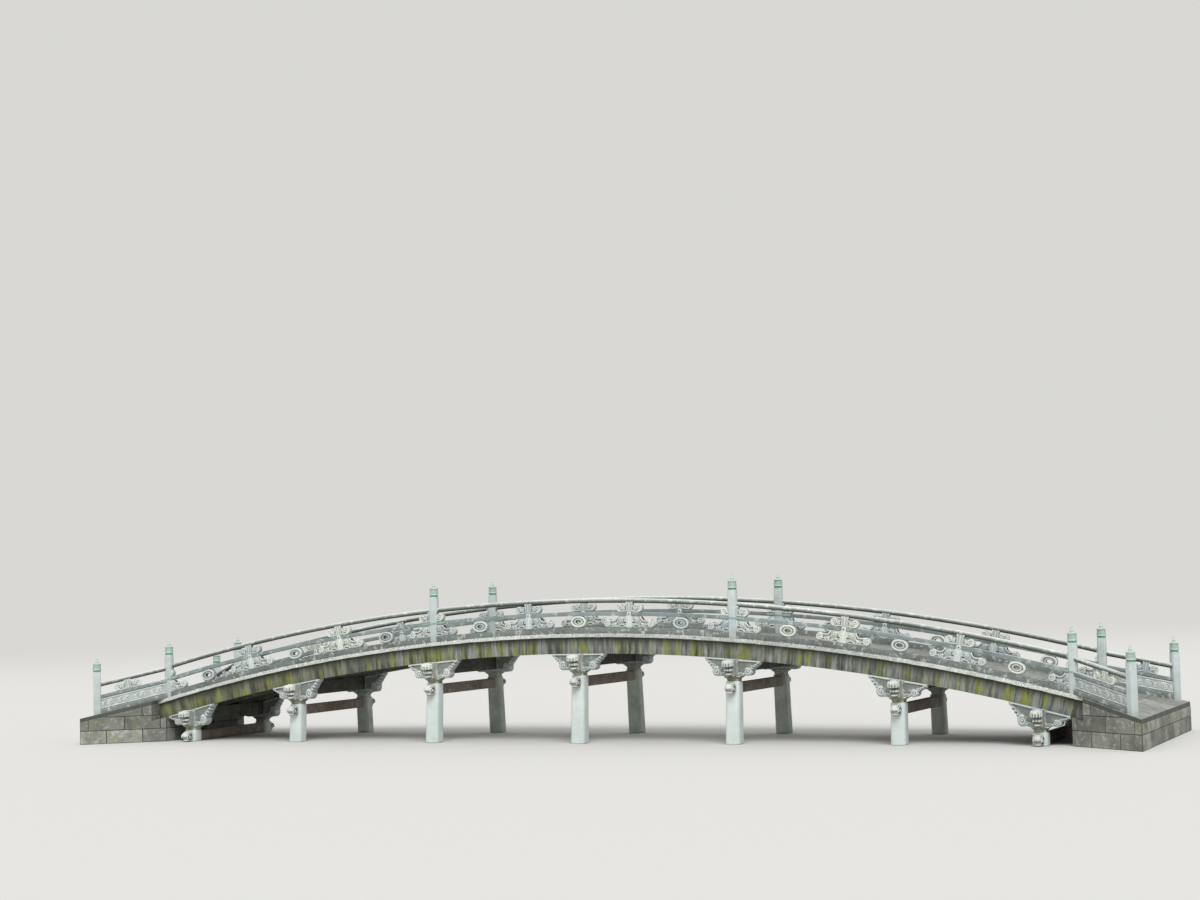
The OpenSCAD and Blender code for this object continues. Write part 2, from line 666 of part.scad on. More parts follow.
// One cloud head in the middle of each wing. The wing's heights are upright and
// the stone's are square to the slope, so its foot is trimmed to the flat rail.
module wing_clouds() color("#b2b3ad") all_corners() fit_wing()
  translate([wing_len / 2, 0, -wing_len / 2 * wing_slope]) rotate([0, wing_tilt, 0])
    translate([0, 0, -lean * round_c]) difference() {
      across(-cloud_t / 2, cloud_t / 2) intersection() {
        cloud_head_outline();
        translate([-bay, flat_hi + seat + lean * (round_c - flat_hi)]) square([2 * bay, bay]);
      }
      rail_groove(2 * volute_x + 4 * volute_r);
    }
module wing_posts() color("#ccd1cd") all_corners() difference() {
  on_wing() translate([wing_len, 0, 0])
    square_post(post_w, post_chamfer, -wing_len * wing_slope - post_w, post_h - wing_len * wing_slope);
  across(-big, big)
    polygon([[end_post, 0], [landing_end + bay, 0],
             [landing_end + bay, approach_z(landing_end + bay) + deck_t],
             [end_post, approach_z(end_post) + deck_t]]);
}
module wing_caps() color("#8fb09c") all_corners()
  on_wing() translate([wing_len, 0, post_h - wing_len * wing_slope]) post_cap();

front() columns();  // columns_front
columns();  // columns_rear
tie_beams();
front() tie_noses();  // tie_noses_front
tie_noses();  // tie_noses_rear
front() neck_blocks();  // neck_blocks_front
neck_blocks();  // neck_blocks_rear
front() brackets();  // brackets_front
brackets();  // brackets_rear
front() beam_heads();  // beam_heads_front
beam_heads();  // beam_heads_rear
cap_beams();
front() edge_beam();  // edge_beam_front
edge_beam();  // edge_beam_rear
inner_beams();
deck_slabs();
front() deck_lip();  // deck_lip_front
deck_lip();  // deck_lip_rear
front() curb();  // curb_front
curb();  // curb_rear
front() posts_row();  // posts_front
posts_row();  // posts_rear
front() post_caps();  // post_caps_front
post_caps();  // post_caps_rear
front() round_rail();  // round_rail_front
round_rail();  // round_rail_rear
front() flat_rail();  // flat_rail_front
flat_rail();  // flat_rail_rear
front() rail_straps();  // rail_straps_front
rail_straps();  // rail_straps_rear
front() cloud_feet();  // cloud_feet_front
cloud_feet();  // cloud_feet_rear
front() cloud_heads();  // cloud_heads_front
cloud_heads();  // cloud_heads_rear
front() ring_stones();  // ring_stones_front
ring_stones();  // ring_stones_rear
abutments();
landings();
wing_curbs();
wing_panels();
wing_flat_rails();
wing_clouds();
wing_round_rails();
wing_posts();
wing_caps();
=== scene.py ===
"""Looks of an arched stone garden bridge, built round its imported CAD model.

Lengths are metres, with X along the bridge, Y across it and Z up. The front is
the side at negative Y. Each stone keeps the place that it has in the CAD model.
"""

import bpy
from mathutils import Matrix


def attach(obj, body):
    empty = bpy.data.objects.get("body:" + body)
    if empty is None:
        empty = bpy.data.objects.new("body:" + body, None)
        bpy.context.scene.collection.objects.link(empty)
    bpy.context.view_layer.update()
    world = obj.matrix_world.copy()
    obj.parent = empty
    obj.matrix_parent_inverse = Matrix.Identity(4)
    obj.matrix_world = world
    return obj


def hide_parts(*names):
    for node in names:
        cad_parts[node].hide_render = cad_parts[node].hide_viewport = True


bl_info = {
    "name": "Arched Garden Bridge",
    "version": (1, 0, 0),
    "blender": (4, 5, 0),
    "location": "View3D > Sidebar > Bridge",
    "description": "Carves, weathers and lights the packed stone footbridge",
    "category": "Object",
}

import math
import random

import bpy
import numpy as np
from bpy.props import FloatProperty, FloatVectorProperty, PointerProperty
from mathutils import Euler, Matrix, Vector, noise

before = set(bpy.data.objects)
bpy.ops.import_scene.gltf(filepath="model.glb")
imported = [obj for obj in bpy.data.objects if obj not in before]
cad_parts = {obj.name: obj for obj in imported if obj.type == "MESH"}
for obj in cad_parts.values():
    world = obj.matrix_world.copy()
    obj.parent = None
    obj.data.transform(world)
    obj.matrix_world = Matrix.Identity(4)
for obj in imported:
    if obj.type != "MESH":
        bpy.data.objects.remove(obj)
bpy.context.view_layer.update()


def linear(code):
    """The linear colour of an sRGB hex value"""
    parts = [int(code[i : i + 2], 16) / 255 for i in (1, 3, 5)]
    return tuple(
        p / 12.92 if p <= 0.04045 else ((p + 0.055) / 1.055) ** 2.4 for p in parts
    )


# Settings that the sidebar shows


def length(name, description, default):
    return FloatProperty(
        name=name, description=description, default=default, min=0.0, unit="LENGTH"
    )


def colour(name, description, code):
    return FloatVectorProperty(
        name=name,
        description=description,
        default=linear(code),
        subtype="COLOR",
        size=3,
        min=0.0,
        max=1.0,
    )


class BridgeSizes(bpy.types.PropertyGroup):
    arch_rise: length("Arch rise", "Rise of the deck edge from the end posts", 1.143)
    crown: length("Crown height", "Height of the deck edge at the middle", 1.926)
    bay: length("Bay", "Distance from one bent to the next", 3.0)
    rail_line: length("Railing line", "Distance of the railing from the middle", 1.236)
    carving: length("Carving grain", "Grid on which carved stones are cut", 0.0048)
    bead: length("Bead", "Radius of the raised beads of the carving", 0.0105)


class BridgeColours(bpy.types.PropertyGroup):
    granite: colour("Granite", "Pale speckled granite of the columns", "#D2DDDA")
    carved: colour("Carved stone", "Light blue-grey of the carved stones", "#A6B2B5")
    # White crust, also used as the painted highlight on upward faces, ridges and raised carving
    lichen: colour("Lichen", "White crust on tops and ridges", "#E4E9E4")
    # Black growth and spots, also used as painted shade in hollows and on faces that look down
    dirt_and_shade: colour("Dirt", "Black growth in hollows and under stones", "#3B3E38")
    moss: colour("Moss", "Yellow-green moss", "#868B3E")
    beam: colour("Beam", "Grey of the edge beams", "#636961")
    # Black-green run-off, also used as the painted shadow under the lip and painted shade on the
    # beams' undersides
    streak_and_shade: colour("Streak", "Black-green run-off on the beams", "#3B3F34")
    curb: colour("Curb", "Grey of curbs and deck", "#838B87")
    # Stone under the deck, darkened mostly as painted shade
    shade: colour("Damp stone", "Dark stone under the deck", "#56554C")
    copper: colour("Verdigris", "Pale grey-green patina", "#9DB2A6")
    copper_deep: colour("Deep verdigris", "Blue-green patina of rings", "#66A68F")
    floor: colour("Floor", "Pale studio floor", "#D9D8D4")


def sizes():
    return bpy.context.scene.bridge_sizes


def colours():
    return bpy.context.scene.bridge_colours


# Lines of the bridge

BENTS = (-8.43, -6.0, -3.0, 0.0, 3.0, 6.0, 8.43)
POSTS = (-9.0, -3.0, 3.0, 9.0)
STONES_AT = (-7.0, -5.0, -1.0, 1.0, 5.0, 7.0)
RINGS_AT = (-8.0, -6.0, -4.0, -2.0, 0.0, 2.0, 4.0, 6.0, 8.0)
END_POST = 9.0
# Half a post with its clearance
POST_HALF = 0.0728
POST_H = 0.920
# Half the thickness of the carved railing stones
CLOUD_HALF = 0.046
# The flat rail's face, and its middle above the edge
FLAT_RAIL_HALF = 0.050
FLAT_RAIL_Z = 0.420
# Distance of the columns' tops from the middle of the deck
TOP_Y = 1.26
BRACKET_HALF = 0.10
BRACKET_FACE = TOP_Y + BRACKET_HALF
BEAM_H = 0.300
# Height of the neck block and bracket between a column and the beam
BRACKET_STACK = 0.390
# The round rail's middle above the edge
ROUND_RAIL_Z = 0.660
# Where the deck ends, how far the wings run on and outwards, and half a panel
DECK_END = 9.2
WING_RUN = 1.110
WING_OUT = 0.864
WING_TURN = math.atan2(WING_OUT, WING_RUN)
WING_L = math.hypot(WING_OUT, WING_RUN)
PANEL_HALF = 0.035
# Courses of the abutments, and how far the abutments reach along X and Y
COURSE_H = 0.26
COURSES = 7
BLOCK_L = 0.55
ABUTMENT_REACH = (10.4, 2.7)
# Width of the landings' slabs
SLAB_W = 0.9
# Area below which a face is a sliver and no stone's side, in square metres
LEAST_FACE = 0.004
# The columns' outer face: lean and taper, and its distance from their middle
OUTER_SLANT = math.radians(3.9 + 0.46)
COLUMN_HALF = 0.1277
# The noses' tops below the columns' shoulders, and below where that face starts
NOSE_DROP = 0.030
FACE_DROP = NOSE_DROP + 0.0087
# Heights on a post cap: the top of its collar, and the rims that are rubbed
COLLAR_H = 0.0318
RUBBED_RIMS = ((0.034, 0.0515), (0.141, 0.162), (0.185, 0.3))
# Slant between two faces from which the edge between them is eased
SHARP = math.radians(28)
# The camera's place, the ways to its right and ahead, and its lens in millimetres
EYE = Vector((16.72, -38.00, 2.885))
EYE_RIGHT = Vector((0.9140, 0.4049, -0.0263))
EYE_AHEAD = Vector((-0.4028, 0.9133, 0.0608))
LENS = 65.99
SENSOR = 36.0
# Strength of the sky light and of the lamp, which together show colours as written
SKY = 0.72
KEY = 1.85


def arch_radius():
    half = 3 * sizes().bay
    return (half**2 + sizes().arch_rise ** 2) / (2 * sizes().arch_rise)


def edge_z(x):
    """Height of the deck's edge at a place along the bridge"""
    r = arch_radius()
    return sizes().crown - r + math.sqrt(r * r - x * x)


def soffit_z(x):
    r = arch_radius() - BEAM_H
    return sizes().crown - BEAM_H - r + math.sqrt(r * r - x * x)


def column_top(x):
    return soffit_z(x) - BRACKET_STACK


def on_arch(x, y=0.0):
    """The frame that stands square on the edge at x"""
    turn = Matrix.Rotation(math.asin(x / arch_radius()), 4, "Y")
    return Matrix.Translation((x, y, edge_z(x))) @ turn


# Modelling helpers


def clear_selection():
    active = bpy.context.view_layer.objects.active
    if active and active.mode != "OBJECT":
        bpy.ops.object.mode_set(mode="OBJECT")
    bpy.ops.object.select_all(action="DESELECT")


def focus(obj):
    clear_selection()
    obj.select_set(True)
    bpy.context.view_layer.objects.active = obj
    return obj


def open_mesh(obj, mode="VERT"):
    focus(obj)
    bpy.ops.object.mode_set(mode="EDIT")
    bpy.ops.mesh.select_mode(type=mode)
    bpy.ops.mesh.select_all(action="SELECT")


def close_mesh():
    bpy.ops.object.mode_set(mode="OBJECT")


def points(obj, what="co"):
    """The places, or the normals, of a mesh's points as an array"""
    flat = np.empty(len(obj.data.vertices) * 3, np.float32)
    obj.data.vertices.foreach_get(what, flat)
    return flat.reshape(-1, 3).astype(float)


def move_points(obj, places):
    obj.data.vertices.foreach_set("co", places.astype(np.float32).ravel())
    obj.data.update()


def own_copy(mesh, name):
    obj = bpy.data.objects.new(name, mesh.copy())
    bpy.context.scene.collection.objects.link(obj)
    obj.data.name = name
    return obj


def take_copy(node, name):
    """A merged copy of a CAD node's mesh, as a piece of its own"""
    obj = own_copy(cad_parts[node].data, name)
    obj.data.materials.clear()
    focus(obj)
    bpy.ops.mesh.customdata_custom_splitnormals_clear()
    open_mesh(obj)
    bpy.ops.mesh.remove_doubles(threshold=0.00003)
    bpy.ops.mesh.dissolve_limited(angle_limit=math.radians(0.25))
    close_mesh()
    return obj


def join(objs, name):
    """Joins pieces into the first one"""
    clear_selection()
    for obj in objs:
        obj.select_set(True)
    bpy.context.view_layer.objects.active = objs[0]
    if len(objs) > 1:
        bpy.ops.object.join()
    objs[0].name = name
    objs[0].data.name = name
    return objs[0]


def apply_modifier(obj, kind, **settings):
    focus(obj)
    modifier = obj.modifiers.new(kind.title(), kind)
    for key, value in settings.items():
        setattr(modifier, key, value)
    bpy.ops.object.modifier_apply(modifier=modifier.name)


def ease_edges(obj, width):
    """Rounds the sharp edges of a dressed stone"""
    open_mesh(obj, "EDGE")
    bpy.ops.mesh.select_all(action="DESELECT")
    bpy.ops.mesh.edges_select_sharp(sharpness=SHARP)
    bpy.ops.mesh.bevel(offset=width, segments=2, clamp_overlap=True)
    close_mesh()
    smooth_shade(obj)


def smooth_shade(obj, angle=40):
    focus(obj)
    bpy.ops.object.shade_smooth_by_angle(angle=math.radians(angle))
    return obj


def fuse(parts, name, grid, keep=1.0, rounds=2):
    """Cuts overlapping closed forms as one carved stone, worn a little smooth"""
    obj = join(parts, name)
    apply_modifier(obj, "REMESH", mode="VOXEL", voxel_size=grid)
    if rounds:
        apply_modifier(obj, "SMOOTH", factor=0.5, iterations=rounds)
    if keep < 1:
        apply_modifier(obj, "DECIMATE", ratio=keep)
    focus(obj)
    bpy.ops.object.shade_smooth()
    return obj


def twin(obj, name):
    """The same piece on the other side of the bridge"""
    other = own_copy(obj.data, name)
    open_mesh(other)
    bpy.ops.transform.resize(value=(1, -1, 1), center_override=(0, 0, 0))
    bpy.ops.mesh.flip_normals()
    close_mesh()
    return other


def placed(obj, name, matrix):
    """A copy of a piece, with its place in its mesh"""
    other = own_copy(obj.data, name)
    other.data.transform(matrix)
    if matrix.determinant() < 0:
        other.data.flip_normals()
    return other


def discard(*objs):
    for obj in objs:
        bpy.data.objects.remove(obj, do_unlink=True)


def bead(name, path):
    """A rounded bead along points of (x, y, z, radius)"""
    curve = bpy.data.curves.new(name, "CURVE")
    curve.dimensions = "3D"
    curve.bevel_depth = 1.0
    curve.bevel_resolution = 2
    curve.use_fill_caps = True
    spline = curve.splines.new("POLY")
    spline.points.add(len(path) - 1)
    for point, (x, y, z, r) in zip(spline.points, path):
        point.co = (x, y, z, 1)
        point.radius = r
    obj = bpy.data.objects.new(name, curve)
    bpy.context.scene.collection.objects.link(obj)
    focus(obj)
    bpy.ops.object.convert(target="MESH")
    return obj


def strand(places, radius):
    """A bead through (u, z) places, on the plane y = 0"""
    return bead("strand", [(u, 0, z, radius) for u, z in places])


def take_new(matrix):
    """The primitive that was just added, with its place in its mesh"""
    obj = bpy.context.object
    obj.data.transform(matrix)
    return obj


def scroll(u, z, size, turns, hand, start, thick=1.0):
    """A bead that winds inwards on the plane y = 0, with a boss in its eye"""
    path = []
    # It winds in to a quarter of its size, and its bead thins on the way
    steps = int(14 * turns)
    for i in range(steps + 1):
        t = i / steps
        a = start + hand * t * turns * 2 * math.pi
        r = size * (1 - 0.76 * t)
        radius = thick * sizes().bead * (1.1 - 0.45 * t)
        path.append((r * math.cos(a), 0, r * math.sin(a), radius))
    winding = bead("scroll", path)
    bpy.ops.mesh.primitive_uv_sphere_add(segments=12, ring_count=8, radius=0.2 * size + 0.004)
    eye = take_new(Matrix.Diagonal((1, 0.8, 1, 1)))
    obj = join([winding, eye], "scroll")
    obj.data.transform(Matrix.Translation((u, 0, z)))
    return obj


def ball(x, y, z, rx, ry, rz, turn=0.0):
    """A rounded lump, turned about X"""
    bpy.ops.object.select_all(action="DESELECT")
    bpy.ops.mesh.primitive_uv_sphere_add(segments=20, ring_count=12, radius=1)
    place = Matrix.Translation((x, y, z)) @ Matrix.Rotation(turn, 4, "X")
    return take_new(place @ Matrix.Diagonal((rx, ry, rz, 1)))


def curl(x, y, z, size, thick):
    """A ring that stands square to X"""
    bpy.ops.object.select_all(action="DESELECT")
    bpy.ops.mesh.primitive_torus_add(
        major_radius=size, minor_radius=thick, major_segments=20, minor_segments=8
    )
    return take_new(Matrix.Translation((x, y, z)) @ Matrix.Rotation(math.pi / 2, 4, "Y"))


def block(half, y0, y1, z0, z1):
    """A squared block, centred on the plane x = 0"""
    bpy.ops.object.select_all(action="DESELECT")
    bpy.ops.mesh.primitive_cube_add(size=1)
    scale = Matrix.Diagonal((2 * half, y1 - y0, z1 - z0, 1))
    return take_new(Matrix.Translation((0, (y0 + y1) / 2, (z0 + z1) / 2)) @ scale)


def edge_ends(obj):
    ends = np.empty(len(obj.data.edges) * 2, np.int32)
    obj.data.edges.foreach_get("vertices", ends)
    return ends[0::2], ends[1::2]


def neighbour_mean(values, a, b, count):
    total = np.bincount(a, values[b], len(values)) + np.bincount(b, values[a], len(values))
    return total / count


def store(obj, name, values):
    """Keeps one value for each point, which the finishes read"""
    attribute = obj.data.attributes.new(name, "FLOAT", "POINT")
    attribute.data.foreach_set("value", np.asarray(values, np.float32))


def mark_hollows(obj):
    """Stores how hollow (1) or ridged (-1) the carving is, for soiling and painted shade in
    hollows and lichen and a painted highlight on ridges
    """
    place = points(obj)
    a, b = edge_ends(obj)
    count = np.maximum(np.bincount(a, None, len(place)) + np.bincount(b, None, len(place)), 1)
    mean = np.stack([neighbour_mean(place[:, i], a, b, count) for i in range(3)], 1)
    lift = ((mean - place) * points(obj, "normal")).sum(1)
    span = np.linalg.norm(place[a] - place[b], axis=1)
    size = (np.bincount(a, span, len(place)) + np.bincount(b, span, len(place))) / count
    hollow = lift / np.maximum(size, 1e-6)
    for _ in range(2):
        hollow = 0.5 * hollow + 0.5 * neighbour_mean(hollow, a, b, count)
    # A dip of about a quarter of the edges' length counts in full
    store(obj, "hollow", np.clip(hollow * 3.75, -1, 1))


def mark_relief(obj, half):
    """Stores which points lie sunk below (-1) or proud (1) of the stone's two faces"""
    proud = np.abs(points(obj)[:, 1]) - half
    facing = np.abs(points(obj, "normal")[:, 1]) > 0.6
    # It starts at 4 mm off the face, and counts in full from 12 mm
    relief = np.clip((np.abs(proud) - 0.004) / 0.008, 0, 1) * np.sign(proud)
    relief[(relief < 0) & ~facing] = 0
    store(obj, "relief", relief)


def mark_stones(obj, seed):
    """Gives each separate stone its own tone, from 0 to 1"""
    a, b = edge_ends(obj)
    label = np.arange(len(obj.data.vertices))
    while True:
        low = np.minimum(label[a], label[b])
        lower = label.copy()
        np.minimum.at(lower, a, low)
        np.minimum.at(lower, b, low)
        lower = lower[lower]
        if (lower == label).all():
            break
        label = lower
    found, index = np.unique(label, return_inverse=True)
    rng = random.Random(seed)
    tones = np.array([rng.random() for _ in found])
    store(obj, "stone_tone", tones[index])


def mark_arch(obj):
    """Stores the way along the arch and the height above the edge line"""
    place = points(obj)
    r = arch_radius()
    down = place[:, 2] - (sizes().crown - r)
    along = np.arctan2(place[:, 0], down) * r
    rise = np.hypot(place[:, 0], down) - r
    attribute = obj.data.attributes.new("arch_place", "FLOAT_VECTOR", "POINT")
    packed = np.stack([along, place[:, 1], rise], 1).astype(np.float32)
    attribute.data.foreach_set("vector", packed.ravel())


def press(obj, spots):
    """Sinks flat-bottomed hollows into faces: (frame, half width, half height, depth)

    A frame lies on the face at the hollow's middle, with its Y axis inwards.
    """
    place = points(obj)
    deepest = np.zeros(len(place))
    push = np.zeros((len(place), 3))
    for spot, wide, high, depth in spots:
        turn = np.array(spot.to_3x3())
        local = (place - np.array(spot.translation)) @ turn
        # Only points within 12 mm of the face move
        near = np.abs(local[:, 1]) < 0.012
        share = 1 - np.hypot(local[:, 0] / wide, local[:, 2] / high)
        sink = np.clip(share * 3, 0, 1) * depth * near
        deeper = sink > deepest
        deepest[deeper] = sink[deeper]
        push[deeper] = sink[deeper, None] * turn[:, 1]
    move_points(obj, place + push)


def roughen(obj, amount, scale):
    """Moves points a little, as hand tooling and weather do"""
    place = points(obj)
    for i, p in enumerate(place):
        place[i] += np.array(noise.noise_vector(Vector(p) * scale)) * amount
    move_points(obj, place)


def slice_along(obj, step):
    """Cuts edge loops across a long stone, so that its sides can waver"""
    place = points(obj)
    open_mesh(obj)
    x = place[:, 0].min() + step
    while x < place[:, 0].max() - 0.3 * step:
        bpy.ops.mesh.select_all(action="SELECT")
        bpy.ops.mesh.bisect(plane_co=(x, 0, 0), plane_no=(1, 0, 0))
        x += step
    close_mesh()


def set_piece(obj, node, material, seed=1, carved=False):
    """Gives a finished piece its tones, its finish and its body, and hides its CAD node"""
    if "stone_tone" not in obj.data.attributes:
        mark_stones(obj, seed)
    if carved:
        mark_hollows(obj)
    obj.data.materials.clear()
    obj.data.materials.append(material)
    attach(obj, "root")
    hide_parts(node)


# Finishes


def add(tree, kind, inputs=None, **settings):
    """Adds one node with its settings, and links or sets its inputs"""
    node = tree.nodes.new(kind)
    for key, value in settings.items():
        setattr(node, key, value)
    for key, value in (inputs or {}).items():
        if isinstance(value, bpy.types.NodeSocket):
            tree.links.new(value, node.inputs[key])
        else:
            node.inputs[key].default_value = value
    return node


def new_finish(name):
    material = bpy.data.materials.new(name)
    material.use_nodes = True
    tree = material.node_tree
    return material, tree, tree.nodes["Principled BSDF"]


def paint(tone):
    """A colour with its alpha, from a hex value or its name in the sidebar"""
    return (*(linear(tone) if tone.startswith("#") else getattr(colours(), tone)), 1.0)


def pattern(at, size, detail, rough):
    """Settings of a blotchy pattern, by the size of its blotches in millimetres"""
    return {"Vector": at, "Scale": 1000 / size, "Detail": detail, "Roughness": rough}


def upward(tree):
    """How far a face looks up, from -1 to 1"""
    normal = add(tree, "ShaderNodeNewGeometry").outputs["Normal"]
    return add(tree, "ShaderNodeSeparateXYZ", {0: normal}).outputs["Z"]


def lay(tree, tint, tone, *reaches, how="MAXIMUM"):
    """Lays one more colour over a tint.

    Each reach says where it lies: a value, the bounds between which its share
    grows from none, its full share, and "soft" where it grows along a curve.
    """
    amount = None
    for value, low, high, share, *soft in reaches:
        reach = add(
            tree,
            "ShaderNodeMapRange",
            {0: value, 1: low, 2: high, 3: 0.0, 4: share},
            interpolation_type="SMOOTHSTEP" if soft else "LINEAR",
        ).outputs[0]
        if amount is not None:
            both = {0: amount, 1: reach}
            reach = add(tree, "ShaderNodeMath", both, operation=how, use_clamp=True).outputs[0]
        amount = reach
    layers = {0: amount, 6: tint, 7: paint(tone)}
    return add(tree, "ShaderNodeMix", layers, data_type="RGBA").outputs[2]


def complete(tree, shader, tint, height, strength, depth):
    """Gives a shader its colour, and its fine relief from a pattern's height"""
    relief = {"Strength": strength, "Distance": depth, "Height": height}
    tree.links.new(add(tree, "ShaderNodeBump", relief).outputs[0], shader.inputs["Normal"])
    tree.links.new(tint, shader.inputs["Base Color"])


def weathered_stone_with_painted_light(
    name,
    base,
    dark,
    blotch=0.5,
    lichen=0.35,
    top=0.35,
    hollow_dirt_and_shade=0.8,
    under=0.35,
    moss=0.0,
    grain=14,
    tone=0.16,
    relief=0.003,
    specks=0.0,
    pit_from=0.06,
    warm=0.0,
    sunk=0.0,
    shade_from=-0.1,
):
    """Stone cut by hand and left outdoors, with painted highlights and painted shade.

    base and dark are its clean and stained colours. blotch, lichen, grime and
    moss are shares of the surface, grime being soiling and painted shade in hollows;
    top is the painted highlight, partly lichen, on upward faces, under the painted
    shade on downward faces, specks the black spots, pit_from the hollow where the
    darkening of hollows starts, warm the yellow of some stones, sunk the painted shade
    on sunk panels, shade_from the slant where the painted shade below starts, and tone
    the difference between stones. grain is the size of its crystals in millimetres,
    drawn three to five times coarser than granite's own so that they show.
    """
    material, tree, shader = new_finish(name)
    place = add(tree, "ShaderNodeTexCoord").outputs["Object"]
    shift = add(tree, "ShaderNodeVectorMath", {0: place, 1: (3.1, 7.7, 1.3)}).outputs[0]
    up = upward(tree)
    hollow, tones, proud = (
        add(tree, "ShaderNodeAttribute", attribute_name=key).outputs["Fac"]
        for key in ("hollow", "stone_tone", "relief")
    )
    broad = add(tree, "ShaderNodeTexNoise", pattern(place, 384.6, 5.0, 0.62)).outputs["Fac"]
    patch = add(tree, "ShaderNodeTexNoise", pattern(shift, 90.9, 4.0, 0.6)).outputs["Fac"]
    speck = add(tree, "ShaderNodeTexNoise", pattern(place, grain, 2.0, 0.7)).outputs["Fac"]
    # Stains in broad blotches, the yellow of some stones, painted shade on sunk panels and a
    # painted highlight on raised carving
    tint = lay(tree, paint(base), dark, (broad, 0.40, 0.66, blotch, "soft"))
    if warm:
        tint = lay(tree, tint, "#B7B698", (tones, 0.4, 1.0, warm))
    if sunk:
        tint = lay(tree, tint, dark, (proud, 0.0, -1.0, sunk))
        tint = lay(tree, tint, "lichen", (proud, 0.0, 1.0, 0.6))
    # White lichen crust in patches, and a painted highlight, partly lichen, on faces that look
    # up and along the ridges
    crust_and_light = (patch, 0.52, 0.66, lichen, "soft"), (up, 0.15, 0.95, top)
    tint = lay(tree, tint, "lichen", *crust_and_light, how="ADD")
    tint = lay(tree, tint, "lichen", (hollow, -0.10, -0.65, 0.85))
    # Painted shade on faces that look down, and soiling with painted shade in the hollows
    growth_and_shade = (up, shade_from, -0.8, under), (hollow, pit_from, 0.50, hollow_dirt_and_shade, "soft")
    tint = lay(tree, tint, "dirt_and_shade", *growth_and_shade)
    if moss:
        coat = add(tree, "ShaderNodeTexNoise", pattern(shift, 200, 6.0, 0.7)).outputs["Fac"]
        spread = coat, 0.62 - 0.3 * moss, 0.74 - 0.25 * moss, 0.8, "soft"
        tint = lay(tree, tint, "moss", spread)
    if specks:
        # Black spots, thickest at the top of the edge
        spots = add(tree, "ShaderNodeTexNoise", pattern(shift, 29.41, 3.0, 0.7)).outputs["Fac"]
        rise = add(tree, "ShaderNodeAttribute", attribute_name="arch_place").outputs["Vector"]
        rise = add(tree, "ShaderNodeSeparateXYZ", {0: rise}).outputs["Z"]
        wet = {0: rise, 1: 0.0, 2: 0.08, 3: -0.06, 4: 0.05}
        wet = add(tree, "ShaderNodeMapRange", wet).outputs[0]
        spots = add(tree, "ShaderNodeMath", {0: spots, 1: wet}, operation="ADD").outputs[0]
        tint = lay(tree, tint, "dirt_and_shade", (spots, 0.54, 0.64, specks))
    # Crystals of the stone, the tone of each stone, and a duller crust
    value = {0: speck, 1: 0.3, 2: 0.7, 3: 0.86, 4: 1.12}
    level = {0: tones, 1: 0.0, 2: 1.0, 3: 1 - tone, 4: 1 + 0.5 * tone}
    rough = {0: patch, 1: 0.3, 2: 0.7, 3: 0.82, 4: 0.96}
    value, level, rough = (
        add(tree, "ShaderNodeMapRange", bounds).outputs[0] for bounds in (value, level, rough)
    )
    value = add(tree, "ShaderNodeMath", {0: value, 1: level}, operation="MULTIPLY").outputs[0]
    tint = add(tree, "ShaderNodeHueSaturation", {"Value": value, "Color": tint}).outputs["Color"]
    height = add(tree, "ShaderNodeMath", {0: patch, 1: speck}, operation="ADD").outputs[0]
    tree.links.new(rough, shader.inputs["Roughness"])
    shader.inputs["IOR"].default_value = 1.45
    complete(tree, shader, tint, height, 0.7, relief)
    return material


